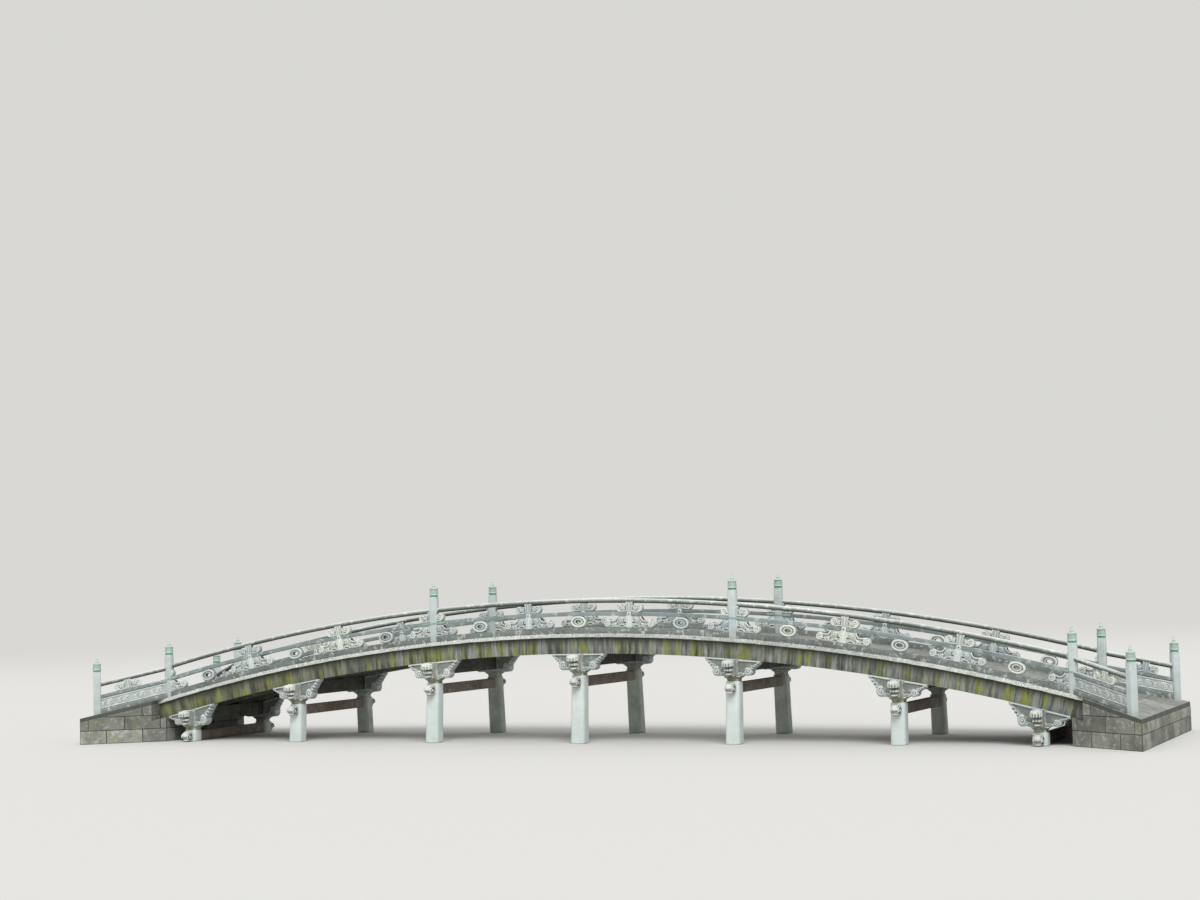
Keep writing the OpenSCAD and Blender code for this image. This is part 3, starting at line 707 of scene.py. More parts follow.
def streaked_fascia_with_painted_shadow(name):
    """Smooth-dressed granite under moss and run-off that hang down from the lip, with the lip's
    shadow painted below it
    """
    material, tree, shader = new_finish(name)
    place = add(tree, "ShaderNodeAttribute", attribute_name="arch_place").outputs["Vector"]
    parts = add(tree, "ShaderNodeSeparateXYZ", {0: place})
    # Places that sway a little and are stretched downwards turn noise into runs
    sway = add(tree, "ShaderNodeTexNoise", pattern(place, 142.9, 2.0, 0.5)).outputs["Color"]
    terms = {0: sway, 1: (0.05, 0.0, 0.0), 2: place}
    run = add(tree, "ShaderNodeVectorMath", terms, operation="MULTIPLY_ADD").outputs[0]
    terms = {0: run, 1: (1.0, 0.5, 0.10)}
    run = add(tree, "ShaderNodeVectorMath", terms, operation="MULTIPLY").outputs[0]
    thread = add(tree, "ShaderNodeVectorMath", {0: run, 1: (9.3, 2.1, 4.4)}).outputs[0]
    # Bands, threads and washed streaks by their width in millimetres, then clouds
    # and crystals, which are drawn about four times coarser than real so that they show
    wide, dark, washed, clouded, speck = (
        add(tree, "ShaderNodeTexNoise", drawn).outputs["Fac"]
        for drawn in (
            pattern(run, 151.5, 2.5, 0.55),
            pattern(thread, 111.1, 4.0, 0.62),
            pattern(run, 58.82, 4.0, 0.65),
            pattern(place, 200.0, 5.0, 0.6),
            pattern(place, 12.5, 2.0, 0.7),
        )
    )
    patchy, reach, cloud, crystal = (
        add(tree, "ShaderNodeMapRange", bounds).outputs[0]
        for bounds in (
            {0: clouded, 1: 0.32, 2: 0.52, 3: 0.5, 4: 1.0},
            {0: dark, 1: 0.35, 2: 0.65, 3: -0.10, 4: 0.10},
            {0: clouded, 1: 0.3, 2: 0.7, 3: 0.86, 4: 1.08},
            {0: speck, 1: 0.3, 2: 0.7, 3: 0.92, 4: 1.07},
        )
    )
    tint = lay(tree, paint("beam"), "#A3A7A6", (washed, 0.38, 0.66, 0.95))
    # A brown-green film, thickest towards the end at negative X
    bounds = {0: parts.outputs["X"], 1: -2.0, 2: -8.0, 3: 0.12, 4: 0.66}
    film = add(tree, "ShaderNodeMapRange", bounds, interpolation_type="SMOOTHSTEP").outputs[0]
    layers = {0: film, 6: tint, 7: paint("#6B6A45")}
    tint = add(tree, "ShaderNodeMix", layers, data_type="RGBA").outputs[2]
    # Moss in soft-edged bands, which the painted shadow under the lip leaves palest low down
    bounds = {0: wide, 1: 0.51, 2: 0.59, 3: 0.0, 4: 0.92}
    band = add(tree, "ShaderNodeMapRange", bounds, interpolation_type="SMOOTHSTEP").outputs[0]
    band = add(tree, "ShaderNodeMath", {0: band, 1: patchy}, operation="MULTIPLY").outputs[0]
    layers = {0: patchy, 6: paint("#666A36"), 7: paint("moss")}
    moss = add(tree, "ShaderNodeMix", layers, data_type="RGBA").outputs[2]
    layers = {0: band, 6: tint, 7: moss}
    tint = add(tree, "ShaderNodeMix", layers, data_type="RGBA").outputs[2]
    # Run-off in threads, a painted shadow of the lip as a dark veil of uneven length below it,
    # and painted shade on faces that look down
    height = add(tree, "ShaderNodeMath", {0: parts.outputs["Z"], 1: reach}).outputs[0]
    growth_and_shade = (
        (dark, 0.44, 0.66, 0.92, "soft"),
        (height, -0.27, 0.0, 0.9, "soft"),
        (upward(tree), -0.2, -0.9, 0.85),
    )
    tint = lay(tree, tint, "streak_and_shade", *growth_and_shade)
    value = add(tree, "ShaderNodeMath", {0: cloud, 1: crystal}, operation="MULTIPLY").outputs[0]
    tint = add(tree, "ShaderNodeHueSaturation", {"Value": value, "Color": tint}).outputs["Color"]
    height = add(tree, "ShaderNodeMath", {0: clouded, 1: speck}, operation="ADD").outputs[0]
    shader.inputs["Roughness"].default_value = 0.86
    complete(tree, shader, tint, height, 0.4, 0.002)
    return material


def aged_copper_with_painted_light(name, base):
    """Beaten and turned copper under an even patina, pale where it is rubbed, with painted shade
    below and a painted highlight on top
    """
    material, tree, shader = new_finish(name)
    place = add(tree, "ShaderNodeTexCoord").outputs["Object"]
    up = upward(tree)
    ring = add(tree, "ShaderNodeAttribute", attribute_name="ring").outputs["Fac"]
    hang = {0: place, 1: (1.0, 1.0, 0.25)}
    hang = add(tree, "ShaderNodeVectorMath", hang, operation="MULTIPLY").outputs[0]
    # Pale runs and brown pits by their width in millimetres. Real pits are finer,
    # and these are drawn coarse so that they show
    runs = add(tree, "ShaderNodeTexNoise", pattern(hang, 26.316, 4.0, 0.6)).outputs["Fac"]
    pits = add(tree, "ShaderNodeTexNoise", pattern(place, 16.667, 5.0, 0.7)).outputs["Fac"]
    tint = lay(tree, paint(base), "#C3D2C4", (runs, 0.45, 0.7, 0.6))
    tint = lay(tree, tint, "#5B6A5A", (pits, 0.62, 0.74, 0.55))
    # Painted shade on faces that look down
    tint = lay(tree, tint, "dirt_and_shade", (up, -0.1, -0.8, 0.6))
    # Rims and finial are rubbed pale, and faces that look up get a painted highlight
    tint = lay(tree, tint, "#C4D7CB", (ring, 0.0, -1.0, 0.75), (up, 0.1, 0.8, 0.6))
    layers = {0: ring, 6: tint, 7: paint("copper_deep")}
    tint = add(tree, "ShaderNodeMix", layers, data_type="RGBA").outputs[2]
    # The patina hides most of the metal's shine
    shader.inputs["Metallic"].default_value = 0.15
    shader.inputs["Roughness"].default_value = 0.62
    complete(tree, shader, tint, pits, 0.3, 0.001)
    return material


# What each stone is and how it was worked, and what that gives the eye
# Each stone's top and under put a painted highlight on faces that look up and painted shade on
# faces that look down
STONES = {
    # Granite, fine-tooled: pale and even, with small dark crystals
    "column_granite": dict(
        base="granite", dark="#B4BFBA",
        blotch=0.35, lichen=0.15, top=0.2, under=0.2, tone=0.04, grain=11,
    ),
    # The same granite, greener and blotched from damp, and darker as painted shade from the deck
    # and trees
    "column_shaded": dict(
        base="#B3BCB0", dark="#858E80",
        blotch=0.5, lichen=0.2, top=0.2, under=0.3, tone=0.06, grain=11,
    ),
    # Blue-grey granite, carved: pale ridges and black hollows, partly lichen and dirt and partly
    # painted highlight and shade, some stones yellower
    "carved_stone": dict(
        base="carved", dark="#767D7D",
        blotch=0.3, lichen=0.25, hollow_dirt_and_shade=0.7, pit_from=0.10, warm=0.5, sunk=0.35,
    ),
    # The same, deeply carved under the deck: white lobes on a ground darkened by painted shade
    "bracket_stone": dict(
        base="carved", dark="#74796F",
        blotch=0.3, lichen=0.2, hollow_dirt_and_shade=0.85, warm=0.3, sunk=0.8,
    ),
    # Granite carved in the round: white crust with a painted highlight on its upper faces, black
    # folds of dirt and painted shade
    "head_stone": dict(
        base="#C8CECA", dark="#7E7F70", blotch=0.25, lichen=0.4, top=0.7,
        hollow_dirt_and_shade=1.0, under=0.7, pit_from=0.0, warm=0.3, sunk=0.8,
    ),
    # Rough-hewn granite that stays damp: grey-green with moss in patches
    "mossy_stone": dict(
        base="#A9AE98", dark="#76795C", blotch=0.8, lichen=0.3, moss=0.28,
    ),
    # Rough-sawn granite under the deck, nearly black mostly as painted shade, without crust
    "dark_stone": dict(
        base="shade", dark="#3A3830", blotch=0.7, lichen=0.1, top=0.1, under=0.5,
    ),
    # Granite in constant damp: stained a warm brown
    "tie_stone": dict(
        base="#827A70", dark="#62493F", blotch=0.6, lichen=0.15, top=0.1, under=0.5,
    ),
    # Split granite, left rough: white lichen broken by black spots
    "lip_stone": dict(
        base="#CDD1CC", dark="#9A9E98", blotch=0.35, lichen=0.9, top=0.5,
        under=0.8, grain=22, relief=0.006, specks=0.85,
    ),
    # Rough-tooled granite, trodden: dull grey, each slab of its own tone
    "deck_stone": dict(
        base="#949690", dark="#6F716A",
        blotch=0.6, lichen=0.25, top=0.0, moss=0.12, grain=18, tone=0.25,
    ),
    # Rough-tooled granite that rain runs down: grey with crust and black spots
    "curb_stone": dict(
        base="curb", dark="#686A64",
        blotch=0.6, lichen=0.5, top=0.25, grain=20, specks=0.35,
    ),
    # Smooth-dressed granite: blue-grey, with a painted highlight on its top and painted shade
    # underneath
    "rail_stone": dict(
        base="#889595", dark="#666C66", blotch=0.5, lichen=0.35, top=0.6, under=0.9,
    ),
    # The same, round: its painted shade starts high on its sides
    "pole_stone": dict(
        base="#8B938D", dark="#656B62",
        blotch=0.5, lichen=0.4, top=0.9, under=0.97, shade_from=0.35,
    ),
    # Pale granite, fine-tooled and square: clean, evenly speckled faces
    "post_stone": dict(
        base="#C1CCCB", dark="#A0AAA5", blotch=0.4, lichen=0.25, tone=0.05, grain=12,
    ),
    # Pale granite in slabs, carved low: painted shade on the sunk ground, a painted highlight on
    # the scrolls
    "panel_stone": dict(
        base="#BCC4C2", dark="#858B87", blotch=0.4, lichen=0.35, hollow_dirt_and_shade=0.8, sunk=0.5,
    ),
    # Rough-dressed blocks of mixed granite: coarse faces of many greys
    "masonry": dict(
        base="#8F9189", dark="#62635B",
        blotch=0.6, lichen=0.25, moss=0.2, relief=0.012, grain=25, tone=0.4,
    ),
}
COPPERS = {"cap_copper": "copper", "strap_copper": "#8BA5A0"}


def finish(name):
    """Makes each finish once, by its slot's name or a variant's"""
    title = "aged_" + name
    known = bpy.data.materials.get(title)
    if known:
        return known
    if name == "beam_stone":
        return streaked_fascia_with_painted_shadow(title)
    if name in COPPERS:
        return aged_copper_with_painted_light(title, COPPERS[name])
    return weathered_stone_with_painted_light(title, **STONES[name])


# Makers of pieces


def dressed(node, slot, ease, seed, step=0.0, waver=0.0, look=None, extras=()):
    """A CAD node's stones with eased edges.

    Those that follow the arch are cut across at every step, so that they waver.
    """
    obj = take_copy(node, "dressed_" + node)
    ease_edges(obj, ease)
    obj = join([obj, *extras], "dressed_" + node)
    if step:
        slice_along(obj, step)
        roughen(obj, waver, 6.0)
        mark_arch(obj)
    smooth_shade(obj)
    set_piece(obj, node, finish(look or slot), seed)


def pick_faces(obj, wanted):
    """Selects the faces that a test wants, but for slivers"""
    bpy.ops.object.mode_set(mode="OBJECT")
    for face in obj.data.polygons:
        face.select = face.area > LEAST_FACE and wanted(face)
    bpy.ops.object.mode_set(mode="EDIT")


def pick_tops(obj, near, far):
    """Selects the faces that look up between two distances from the middle"""
    pick_faces(obj, lambda face: face.normal.z > 0.8 and near < abs(face.center.x) < far)


def mark_blocks(obj, seed):
    """Gives each inset block its own tone, and marks the joints between as hollow"""
    joint = np.ones(len(obj.data.vertices))
    tones = np.full(len(joint), 0.5)
    rng = random.Random(seed)
    for face in obj.data.polygons:
        if face.select:
            joint[list(face.vertices)] = 0
            tones[list(face.vertices)] = rng.random()
    store(obj, "hollow", joint)
    store(obj, "stone_tone", tones)


def pave(node, rows_at, seed):
    """Sinks joints round the slabs of a floor, cut first in rows of (near, far, shift)"""
    obj = take_copy(node, "paved_" + node)
    open_mesh(obj, "FACE")
    bpy.ops.mesh.dissolve_limited(angle_limit=math.radians(2))
    for near, far, shift in rows_at:
        for x in (-near, near):
            bpy.ops.mesh.select_all(action="SELECT")
            bpy.ops.mesh.bisect(plane_co=(x, 0, 0), plane_no=(1, 0, 0))
        for i in range(-3, 3):
            pick_tops(obj, near, far)
            bpy.ops.mesh.bisect(plane_co=(0, (i + shift) * SLAB_W, 0), plane_no=(0, 1, 0))
    pick_tops(obj, 0, ABUTMENT_REACH[0])
    bpy.ops.mesh.inset(thickness=0.009, depth=0.006, use_individual=True)
    close_mesh()
    mark_blocks(obj, seed)
    set_piece(obj, node, finish("deck_stone"))


def studs(side):
    """Diamond studs on both faces of a flat rail, one over each cloud foot"""
    out = []
    for x in STONES_AT:
        for face in (-1, 1):
            bpy.ops.object.select_all(action="DESELECT")
            bpy.ops.mesh.primitive_cone_add(
                vertices=4, radius1=0.024, radius2=0.012, depth=0.022
            )
            square = on_arch(x, side * sizes().rail_line + face * FLAT_RAIL_HALF)
            turn = Matrix.Rotation(-face * math.pi / 2, 4, "X")
            stud = take_new(square @ Matrix.Translation((0, 0, FLAT_RAIL_Z)) @ turn)
            store(stud, "hollow", np.ones(len(stud.data.vertices)))
            out.append(stud)
    return out


def both_sides(maker, node, slot, seed, look=None, carved=False):
    """Makes the front piece, and the rear one as its own mirrored mesh"""
    front = maker(node + "_front")
    rear = twin(front, front.name.replace("_front", "_rear"))
    for obj, side, number in ((front, "_front", seed), (rear, "_rear", seed + 50)):
        set_piece(obj, node + side, finish(look or slot), number, carved)
    return rear


def dress_columns(node):
    """Eases the columns' edges, and their shoulders most"""
    obj = take_copy(node, "dressed_" + node)
    tops = {round(column_top(x), 3) for x in BENTS}
    for edge in obj.data.edges:
        heights = [obj.data.vertices[i].co.z for i in edge.vertices]
        edge.select = all(any(abs(z - top) < 0.003 for top in tops) for z in heights)
    open_edges(obj)
    bpy.ops.mesh.bevel(offset=0.022, segments=3, clamp_overlap=True)
    close_mesh()
    ease_edges(obj, 0.007)
    return obj


def round_necks(node):
    """The neck blocks and their dishes, worn round"""
    return fuse([take_copy(node, "carved_" + node)], "carved_" + node, grid=0.010, keep=0.35)


def faces_of(half, u, z):
    """Frames on both faces of an upright stone, Y inwards, at (u, z)"""
    turned = Matrix.Rotation(math.pi, 4, "Z")
    return Matrix.Translation((u, -half, z)), Matrix.Translation((u, half, z)) @ turned


def hollows_at(half, *spots):
    """Hollows on both faces and at both ends, from (u, z, half width, half height, depth)"""
    out = []
    for side in (-1, 1):
        for u, z, *shape in spots:
            out += [(face, *shape) for face in faces_of(half, side * u, z)]
    return out


def on_both_faces(half, *carvings, sides=(-1, 1)):
    """Copies of carvings drawn on y = 0, on both faces and at both ends"""
    out = []
    for carving in carvings:
        for side in sides:
            mirrored = Matrix.Diagonal((side, 1, 1, 1))
            for y in (-half, half):
                place = Matrix.Translation((0, y, 0)) @ mirrored
                out.append(placed(carving, "relief", place))
        discard(carving)
    return out


def pick_stone(node, x, reach, frame_at):
    """The front stone of a CAD node at x on its own, moved into its own frame"""
    obj = take_copy(node, "stone")
    open_mesh(obj)
    for place, way in ((x - reach, (-1, 0, 0)), (x + reach, (1, 0, 0)), (0, (0, 1, 0))):
        bpy.ops.mesh.select_all(action="SELECT")
        bpy.ops.mesh.bisect(plane_co=(place, 0, 0), plane_no=way, clear_outer=True)
    close_mesh()
    obj.data.transform(frame_at.inverted())
    if frame_at.determinant() < 0:
        obj.data.flip_normals()
    return obj


def railing_stone(node, x, reach):
    return pick_stone(node, x, reach, on_arch(x, -sizes().rail_line))


def carve(stone, name, hollows, beads, keep, half=CLOUD_HALF):
    """Cuts one stone: sinks its hollows, then lays the raised carving on it"""
    grid = sizes().carving
    stone = fuse([stone], name, grid, rounds=0)
    press(stone, hollows)
    stone = fuse([stone] + beads, name, grid, keep)
    mark_relief(stone, half)
    return stone


def rows(node, stone, whole, halved=()):
    """Sets a carved stone along the railing, and halves of it beside the posts"""
    y = -sizes().rail_line
    out = [placed(stone, node, on_arch(x, y)) for x in whole]
    for x in halved:
        for side in (-1, 1):
            cut = x + side * POST_HALF
            if abs(cut) < END_POST:
                half = placed(stone, node, on_arch(x, y))
                open_mesh(half)
                bpy.ops.mesh.bisect(
                    plane_co=(cut, 0, 0),
                    plane_no=(-side, 0, 0),
                    use_fill=True,
                    clear_outer=True,
                )
                close_mesh()
                out.append(half)
    discard(stone)
    return smooth_shade(join(out, "carved_" + node), 50)


def carve_feet(node):
    """The lower cloud stones: scrolled wings on both sides of a reeded block"""
    stone = railing_stone(node, 1.0, 0.6)
    hollows = hollows_at(
        CLOUD_HALF,
        (0.432, 0.244, 0.056, 0.056, 0.012),
        (0.148, 0.302, 0.060, 0.056, 0.010),
        (0.150, 0.218, 0.070, 0.030, 0.008),
        (0.300, 0.238, 0.110, 0.044, 0.009),
        # A dark slot beside the block
        (0.092, 0.262, 0.034, 0.012, 0.030),
    )
    rim = [(0.432, 0.312), (0.385, 0.300), (0.335, 0.290), (0.285, 0.294), (0.254, 0.316)]
    rim += [(0.236, 0.348), (0.226, 0.374)]
    beads = on_both_faces(
        CLOUD_HALF,
        scroll(0.432, 0.246, 0.062, 1.7, 1, 1.57, 1.5),
        scroll(0.148, 0.304, 0.046, 1.5, -1, 2.6, 1.1),
        scroll(0.262, 0.222, 0.030, 1.2, -1, 2.4, 1.0),
        strand([(0.070, 0.196), (0.120, 0.228), (0.180, 0.220), (0.215, 0.188)], 0.010),
        strand([(0.300, 0.186), (0.330, 0.224), (0.362, 0.226)], 0.010),
        strand(rim, 0.0150),
    )
    # Each wing's full body and its end scroll
    for side in (-1, 1):
        beads.append(ball(side * 0.300, 0, 0.236, 0.120, 0.043, 0.064))
        beads.append(ball(side * 0.432, 0, 0.246, 0.072, 0.050, 0.072))
    # The block and its neck, which stand proud of the wings
    deep = 0.054
    beads.append(block(0.058, -deep, deep, 0.172, 0.384))
    beads.append(block(0.038, -deep, deep, 0.380, 0.458))
    for u in (-0.032, 0.0, 0.032):
        reed = strand([(u * 1.2, 0.176), (u, 0.378)], 0.007)
        beads += on_both_faces(deep, reed, sides=(1,))
    return rows(node, carve(stone, "foot", hollows, beads, 0.12), STONES_AT, POSTS)


def head_stone(node):
    """One upper cloud stone in its own frame, its neck cut in under the rail"""
    stone = railing_stone(node, 1.0, 0.6)
    place = points(stone)
    neck_z, neck_half = 0.572, 0.056
    cap_z, cap_half = 0.606, 0.070
    wide = np.where(place[:, 2] > cap_z, cap_half, neck_half)
    drawn_in = np.clip(place[:, 0], -wide, wide)
    place[:, 0] = np.where(place[:, 2] > neck_z, drawn_in, place[:, 0])
    move_points(stone, place)
    hollows = hollows_at(
        CLOUD_HALF,
        (0.188, 0.531, 0.060, 0.058, 0.010),
        (0.100, 0.520, 0.040, 0.042, 0.008),
        (0.084, 0.588, 0.016, 0.016, 0.030),
    )
    beads = [ball(side * 0.186, 0, 0.530, 0.078, 0.050, 0.072) for side in (-1, 1)]
    beads += on_both_faces(
        CLOUD_HALF,
        scroll(0.188, 0.531, 0.062, 1.7, 1, -1.57, 1.5),
        scroll(0.104, 0.514, 0.030, 1.3, -1, 2.2, 1.0),
        strand([(0.060, 0.474), (0.120, 0.466), (0.190, 0.466)], 0.0130),
        strand([(0.050, 0.470), (0.044, 0.545), (0.050, 0.606), (0.062, 0.632)], 0.0100),
    )
    ridge = strand([(0.0, 0.468), (0.0, 0.612)], 0.008)
    beads += on_both_faces(CLOUD_HALF, ridge, sides=(1,))
    return carve(stone, "head", hollows, beads, 0.17)


def carve_heads(node):
    return rows(node, head_stone(node), STONES_AT, POSTS)


def carve_rings(node):
    """The oval stones with a bead round the outside and one round the bore"""
    middle = 0.2777
    stone = railing_stone(node, 0.0, 0.3)
    hollows = [(face, 0.116, 0.081, 0.009) for face in faces_of(CLOUD_HALF, 0, middle)]
    turns = [2 * math.pi * i / 32 for i in range(33)]
    beads = []
    for wide, high, radius in ((0.130, 0.086, 0.022), (0.070, 0.046, 0.014)):
        loop = [(wide * math.cos(a), middle + high * math.sin(a)) for a in turns]
        beads += on_both_faces(CLOUD_HALF - 0.006, strand(loop, radius), sides=(1,))
    return rows(node, carve(stone, "ring", hollows, beads, 0.15), RINGS_AT)


def carve_brackets(node):
    """Carves the middle bracket, and bends copies of it to the other bents' soffits"""
    stone = pick_stone(node, 0.0, 0.7, Matrix.Translation((0, -TOP_Y, soffit_z(0))))
    hollows = hollows_at(
        BRACKET_HALF,
        (0.150, -0.105, 0.075, 0.095, 0.014),
        (0.215, -0.100, 0.080, 0.090, 0.014),
        (0.290, -0.080, 0.075, 0.068, 0.014),
        (0.360, -0.058, 0.060, 0.044, 0.014),
        (0.415, -0.038, 0.040, 0.026, 0.014),
        (0.165, -0.200, 0.080, 0.060, 0.012),
        (0.290, -0.215, 0.060, 0.060, 0.014),
    )
    beads = on_both_faces(
        BRACKET_HALF,
        scroll(0.290, -0.217, 0.064, 1.6, -1, 2.2, 1.5),
        strand([(0.112, -0.270), (0.150, -0.242), (0.200, -0.250), (0.226, -0.276)], 0.010),
        strand([(0.130, -0.020), (0.300, -0.018), (0.480, -0.016)], 0.012),
    )
    # White lobes in a row down the slanting end of each arm
    for side in (-1, 1):
        slant = Matrix.Rotation(side * math.radians(48), 4, "Y")
        for u, z in ((0.482, -0.034), (0.444, -0.074), (0.406, -0.112), (0.368, -0.150)):
            lobe = ball(0, 0, 0, 0.040, 0.112, 0.031)
            lobe.data.transform(Matrix.Translation((side * u, 0, z)) @ slant)
            beads.append(lobe)
    stone = carve(stone, "bracket", hollows, beads, 0.13, BRACKET_HALF)
    out = []
    for x in BENTS:
        obj = placed(stone, "bracket", Matrix.Identity(4))
        place = points(obj)
        # How far this bent's soffit falls away from the middle one's, which the
        # bracket's top follows in full and its foot less and less
        fall = [soffit_z(x + u) - soffit_z(x) - soffit_z(u) + soffit_z(0) for u in place[:, 0]]
        place[:, 2] += np.array(fall) * np.clip(1.25 + place[:, 2] / 0.24, 0, 1)
        move_points(obj, place)
        obj.data.transform(Matrix.Translation((x, -TOP_Y, soffit_z(x))))
        out.append(obj)
    discard(stone)
    return join(out, "carved_" + node)


def copies_at(obj, name, places):
    """Copies of a piece at several places, joined"""
    out = [placed(obj, name, matrix) for matrix in places]
    discard(obj)
    return join(out, name)


def carve_head():
    """A beast's head on a plain shank: brow and snout over jaw and chin.

    It looks along -Y from the bracket's face, with its top at the soffit.
    """
    parts = [
        block(0.086, -0.150, 0.030, -0.296, -0.003),
        block(0.074, -0.290, -0.10, -0.128, -0.024),
        ball(0, -0.215, -0.052, 0.086, 0.120, 0.046, 0.10),
        block(0.064, -0.215, -0.10, -0.212, -0.166),
        ball(0, -0.165, -0.258, 0.062, 0.078, 0.022, 0.12),
    ]
    # Lobes of mane and brow: round the front and down both sides
    for x in (-0.069, -0.023, 0.023, 0.069):
        parts.append(ball(x, -0.302 + 0.6 * abs(x), -0.076, 0.0215, 0.050, 0.060))
        parts.append(ball(x, -0.328 + 0.6 * abs(x), -0.112, 0.017, 0.020, 0.020))
    for x in (-0.048, 0.0, 0.048):
        parts.append(ball(x, -0.226, -0.188, 0.022, 0.036, 0.029))
    for s in (-1, 1):
        for y in (-0.255, -0.195):
            parts.append(ball(s * 0.078, y, -0.074, 0.022, 0.024, 0.058))
            parts.append(curl(s * 0.096, y, -0.104, 0.013, 0.007))
        parts.append(ball(s * 0.066, -0.180, -0.188, 0.016, 0.026, 0.026))
        # Eye under the brow
        parts.append(ball(s * 0.046, -0.285, -0.044, 0.018, 0.020, 0.015))
    obj = fuse(parts, "beast_head", grid=0.0058, keep=0.24, rounds=1)
    # The lobes count as proud and get a painted highlight, the plain shank behind them as sunk
    # and gets painted shade
    front = np.clip((-0.156 - points(obj)[:, 1]) / 0.02, 0, 1)
    store(obj, "relief", 1.5 * front - 1)
    return obj


def set_heads(node):
    places = [Matrix.Translation((x, -BRACKET_FACE, soffit_z(x))) for x in BENTS]
    return copies_at(carve_head(), "carved_" + node, places)


def carve_nose():
    """A shell-like curl that rolls under at its tip, from the column's face"""
    parts = [
        block(0.066, -0.085, 0.045, -0.184, -0.014),
        ball(0, -0.095, -0.062, 0.072, 0.116, 0.056, 0.12),
        ball(0, -0.170, -0.078, 0.064, 0.046, 0.048),
        ball(0, -0.110, -0.120, 0.068, 0.074, 0.050),
        ball(0, -0.130, -0.168, 0.056, 0.040, 0.024),
    ]
    # A fold on each side winds in to a boss
    y, z = -0.090, -0.096
    for s in (-1, 1):
        fold = []
        for i in range(25):
            t = i / 24
            a = math.radians(200 - 430 * t)
            r = 0.086 * (1 - 0.70 * t)
            at = (s * (0.068 + 0.012 * t), y + r * math.cos(a) * 1.1, z + r * math.sin(a) * 0.84)
            fold.append((*at, 0.0140 - 0.003 * t))
        parts.append(bead("fold", fold))
        parts.append(ball(s * 0.076, y, z, 0.016, 0.015, 0.015))
    # Ribs along the back draw together towards the tip
    for x in (-0.042, 0.0, 0.042):
        rib = [(x, -0.02, -0.008, 0.012), (x, -0.10, -0.010, 0.014)]
        rib += [(x * 0.8, -0.178, -0.042, 0.014), (x * 0.5, -0.206, -0.085, 0.012)]
        parts.append(bead("rib", rib))
    obj = fuse(parts, "shell_nose", grid=0.0058, keep=0.30, rounds=1)
    # The sides get painted shade, the rolled front and top a painted highlight
    side = np.clip((np.abs(points(obj)[:, 0]) - 0.058) / 0.008, 0, 1)
    store(obj, "relief", 0.7 - 1.5 * side)
    return obj


def set_noses(node):
    face = TOP_Y + COLUMN_HALF + FACE_DROP * math.tan(OUTER_SLANT)
    places = [Matrix.Translation((x, -face, column_top(x) - NOSE_DROP)) for x in BENTS]
    return copies_at(carve_nose(), "carved_" + node, places)


def turn_cap():
    """Profile of the post cap, spun round its axis"""
    profile = [
        (0.0, 0.0), (0.0740, 0.0), (0.0745, 0.003), (0.0745, 0.011), (0.0712, 0.0135),
        (0.0712, 0.0200), (0.0745, 0.0225), (0.0745, 0.0310), (0.0830, 0.0325), (0.0852, 0.0355),
        (0.0852, 0.0480), (0.0835, 0.0505), (0.0815, 0.0535), (0.0806, 0.0750), (0.0776, 0.1000),
        (0.0744, 0.1280), (0.0734, 0.1380), (0.0748, 0.1425), (0.0825, 0.1475), (0.0882, 0.1512),
        (0.0885, 0.1568), (0.0862, 0.1600), (0.0700, 0.1632), (0.0560, 0.1682), (0.0430, 0.1755),
        (0.0330, 0.1832), (0.0275, 0.1895), (0.0285, 0.1930), (0.0330, 0.1980), (0.0338, 0.2040),
        (0.0325, 0.2110), (0.0270, 0.2190), (0.0205, 0.2270), (0.0145, 0.2350), (0.0118, 0.2420),
        (0.0114, 0.2445), (0.0150, 0.2475), (0.0160, 0.2530), (0.0155, 0.2590), (0.0115, 0.2655),
        (0.0055, 0.2690), (0.0, 0.270),
    ]
    bpy.ops.object.select_all(action="DESELECT")
    bpy.ops.mesh.primitive_circle_add(vertices=len(profile), radius=0.1)
    obj = bpy.context.object
    # The circle's points take the profile's places, and its closing edge goes
    for vertex, (r, z) in zip(obj.data.vertices, profile):
        vertex.co = (r, 0, z)
    open_mesh(obj, "EDGE")
    bpy.ops.mesh.select_all(action="DESELECT")
    close_mesh()
    last = len(profile) - 1
    for edge in obj.data.edges:
        edge.select = {edge.vertices[0], edge.vertices[1]} == {0, last}
    open_edges(obj)
    bpy.ops.mesh.delete(type="EDGE")
    bpy.ops.mesh.select_all(action="SELECT")
    bpy.ops.mesh.spin(steps=40, angle=2 * math.pi, center=(0, 0, 0), axis=(0, 0, 1))
    bpy.ops.mesh.select_all(action="SELECT")
    bpy.ops.mesh.remove_doubles(threshold=0.0002)
    bpy.ops.mesh.normals_make_consistent(inside=False)
    close_mesh()
    # The collar under the bell keeps its deep green (1), the rims are rubbed (-1)
    z = points(obj)[:, 2]
    rubbed = sum((z > low) & (z < high) for low, high in RUBBED_RIMS)
    store(obj, "ring", (z < COLLAR_H) - 1.0 * rubbed)
    return smooth_shade(obj, 50)


def open_edges(obj):
    """Opens a mesh with the edges picked in code still selected"""
    focus(obj)
    bpy.ops.object.mode_set(mode="EDIT")
    bpy.ops.mesh.select_mode(type="EDGE")


def set_caps(node):
    y = -sizes().rail_line
    places = [Matrix.Translation((x, y, edge_z(x) + POST_H)) for x in POSTS]
    return smooth_shade(copies_at(turn_cap(), "turned_" + node, places), 50)


def wing_frame():
    """The front right wing's frame: X along it, Z from the edge line at the end post"""
    run = DECK_END / math.sqrt(arch_radius() ** 2 - DECK_END**2)
    height = edge_z(DECK_END) - (END_POST - DECK_END) * run
    place = Matrix.Translation((END_POST, sizes().rail_line, height))
    mirrored = Matrix.Diagonal((1, -1, 1, 1))
    return mirrored @ place @ Matrix.Rotation(WING_TURN, 4, "Z"), run * math.cos(WING_TURN)


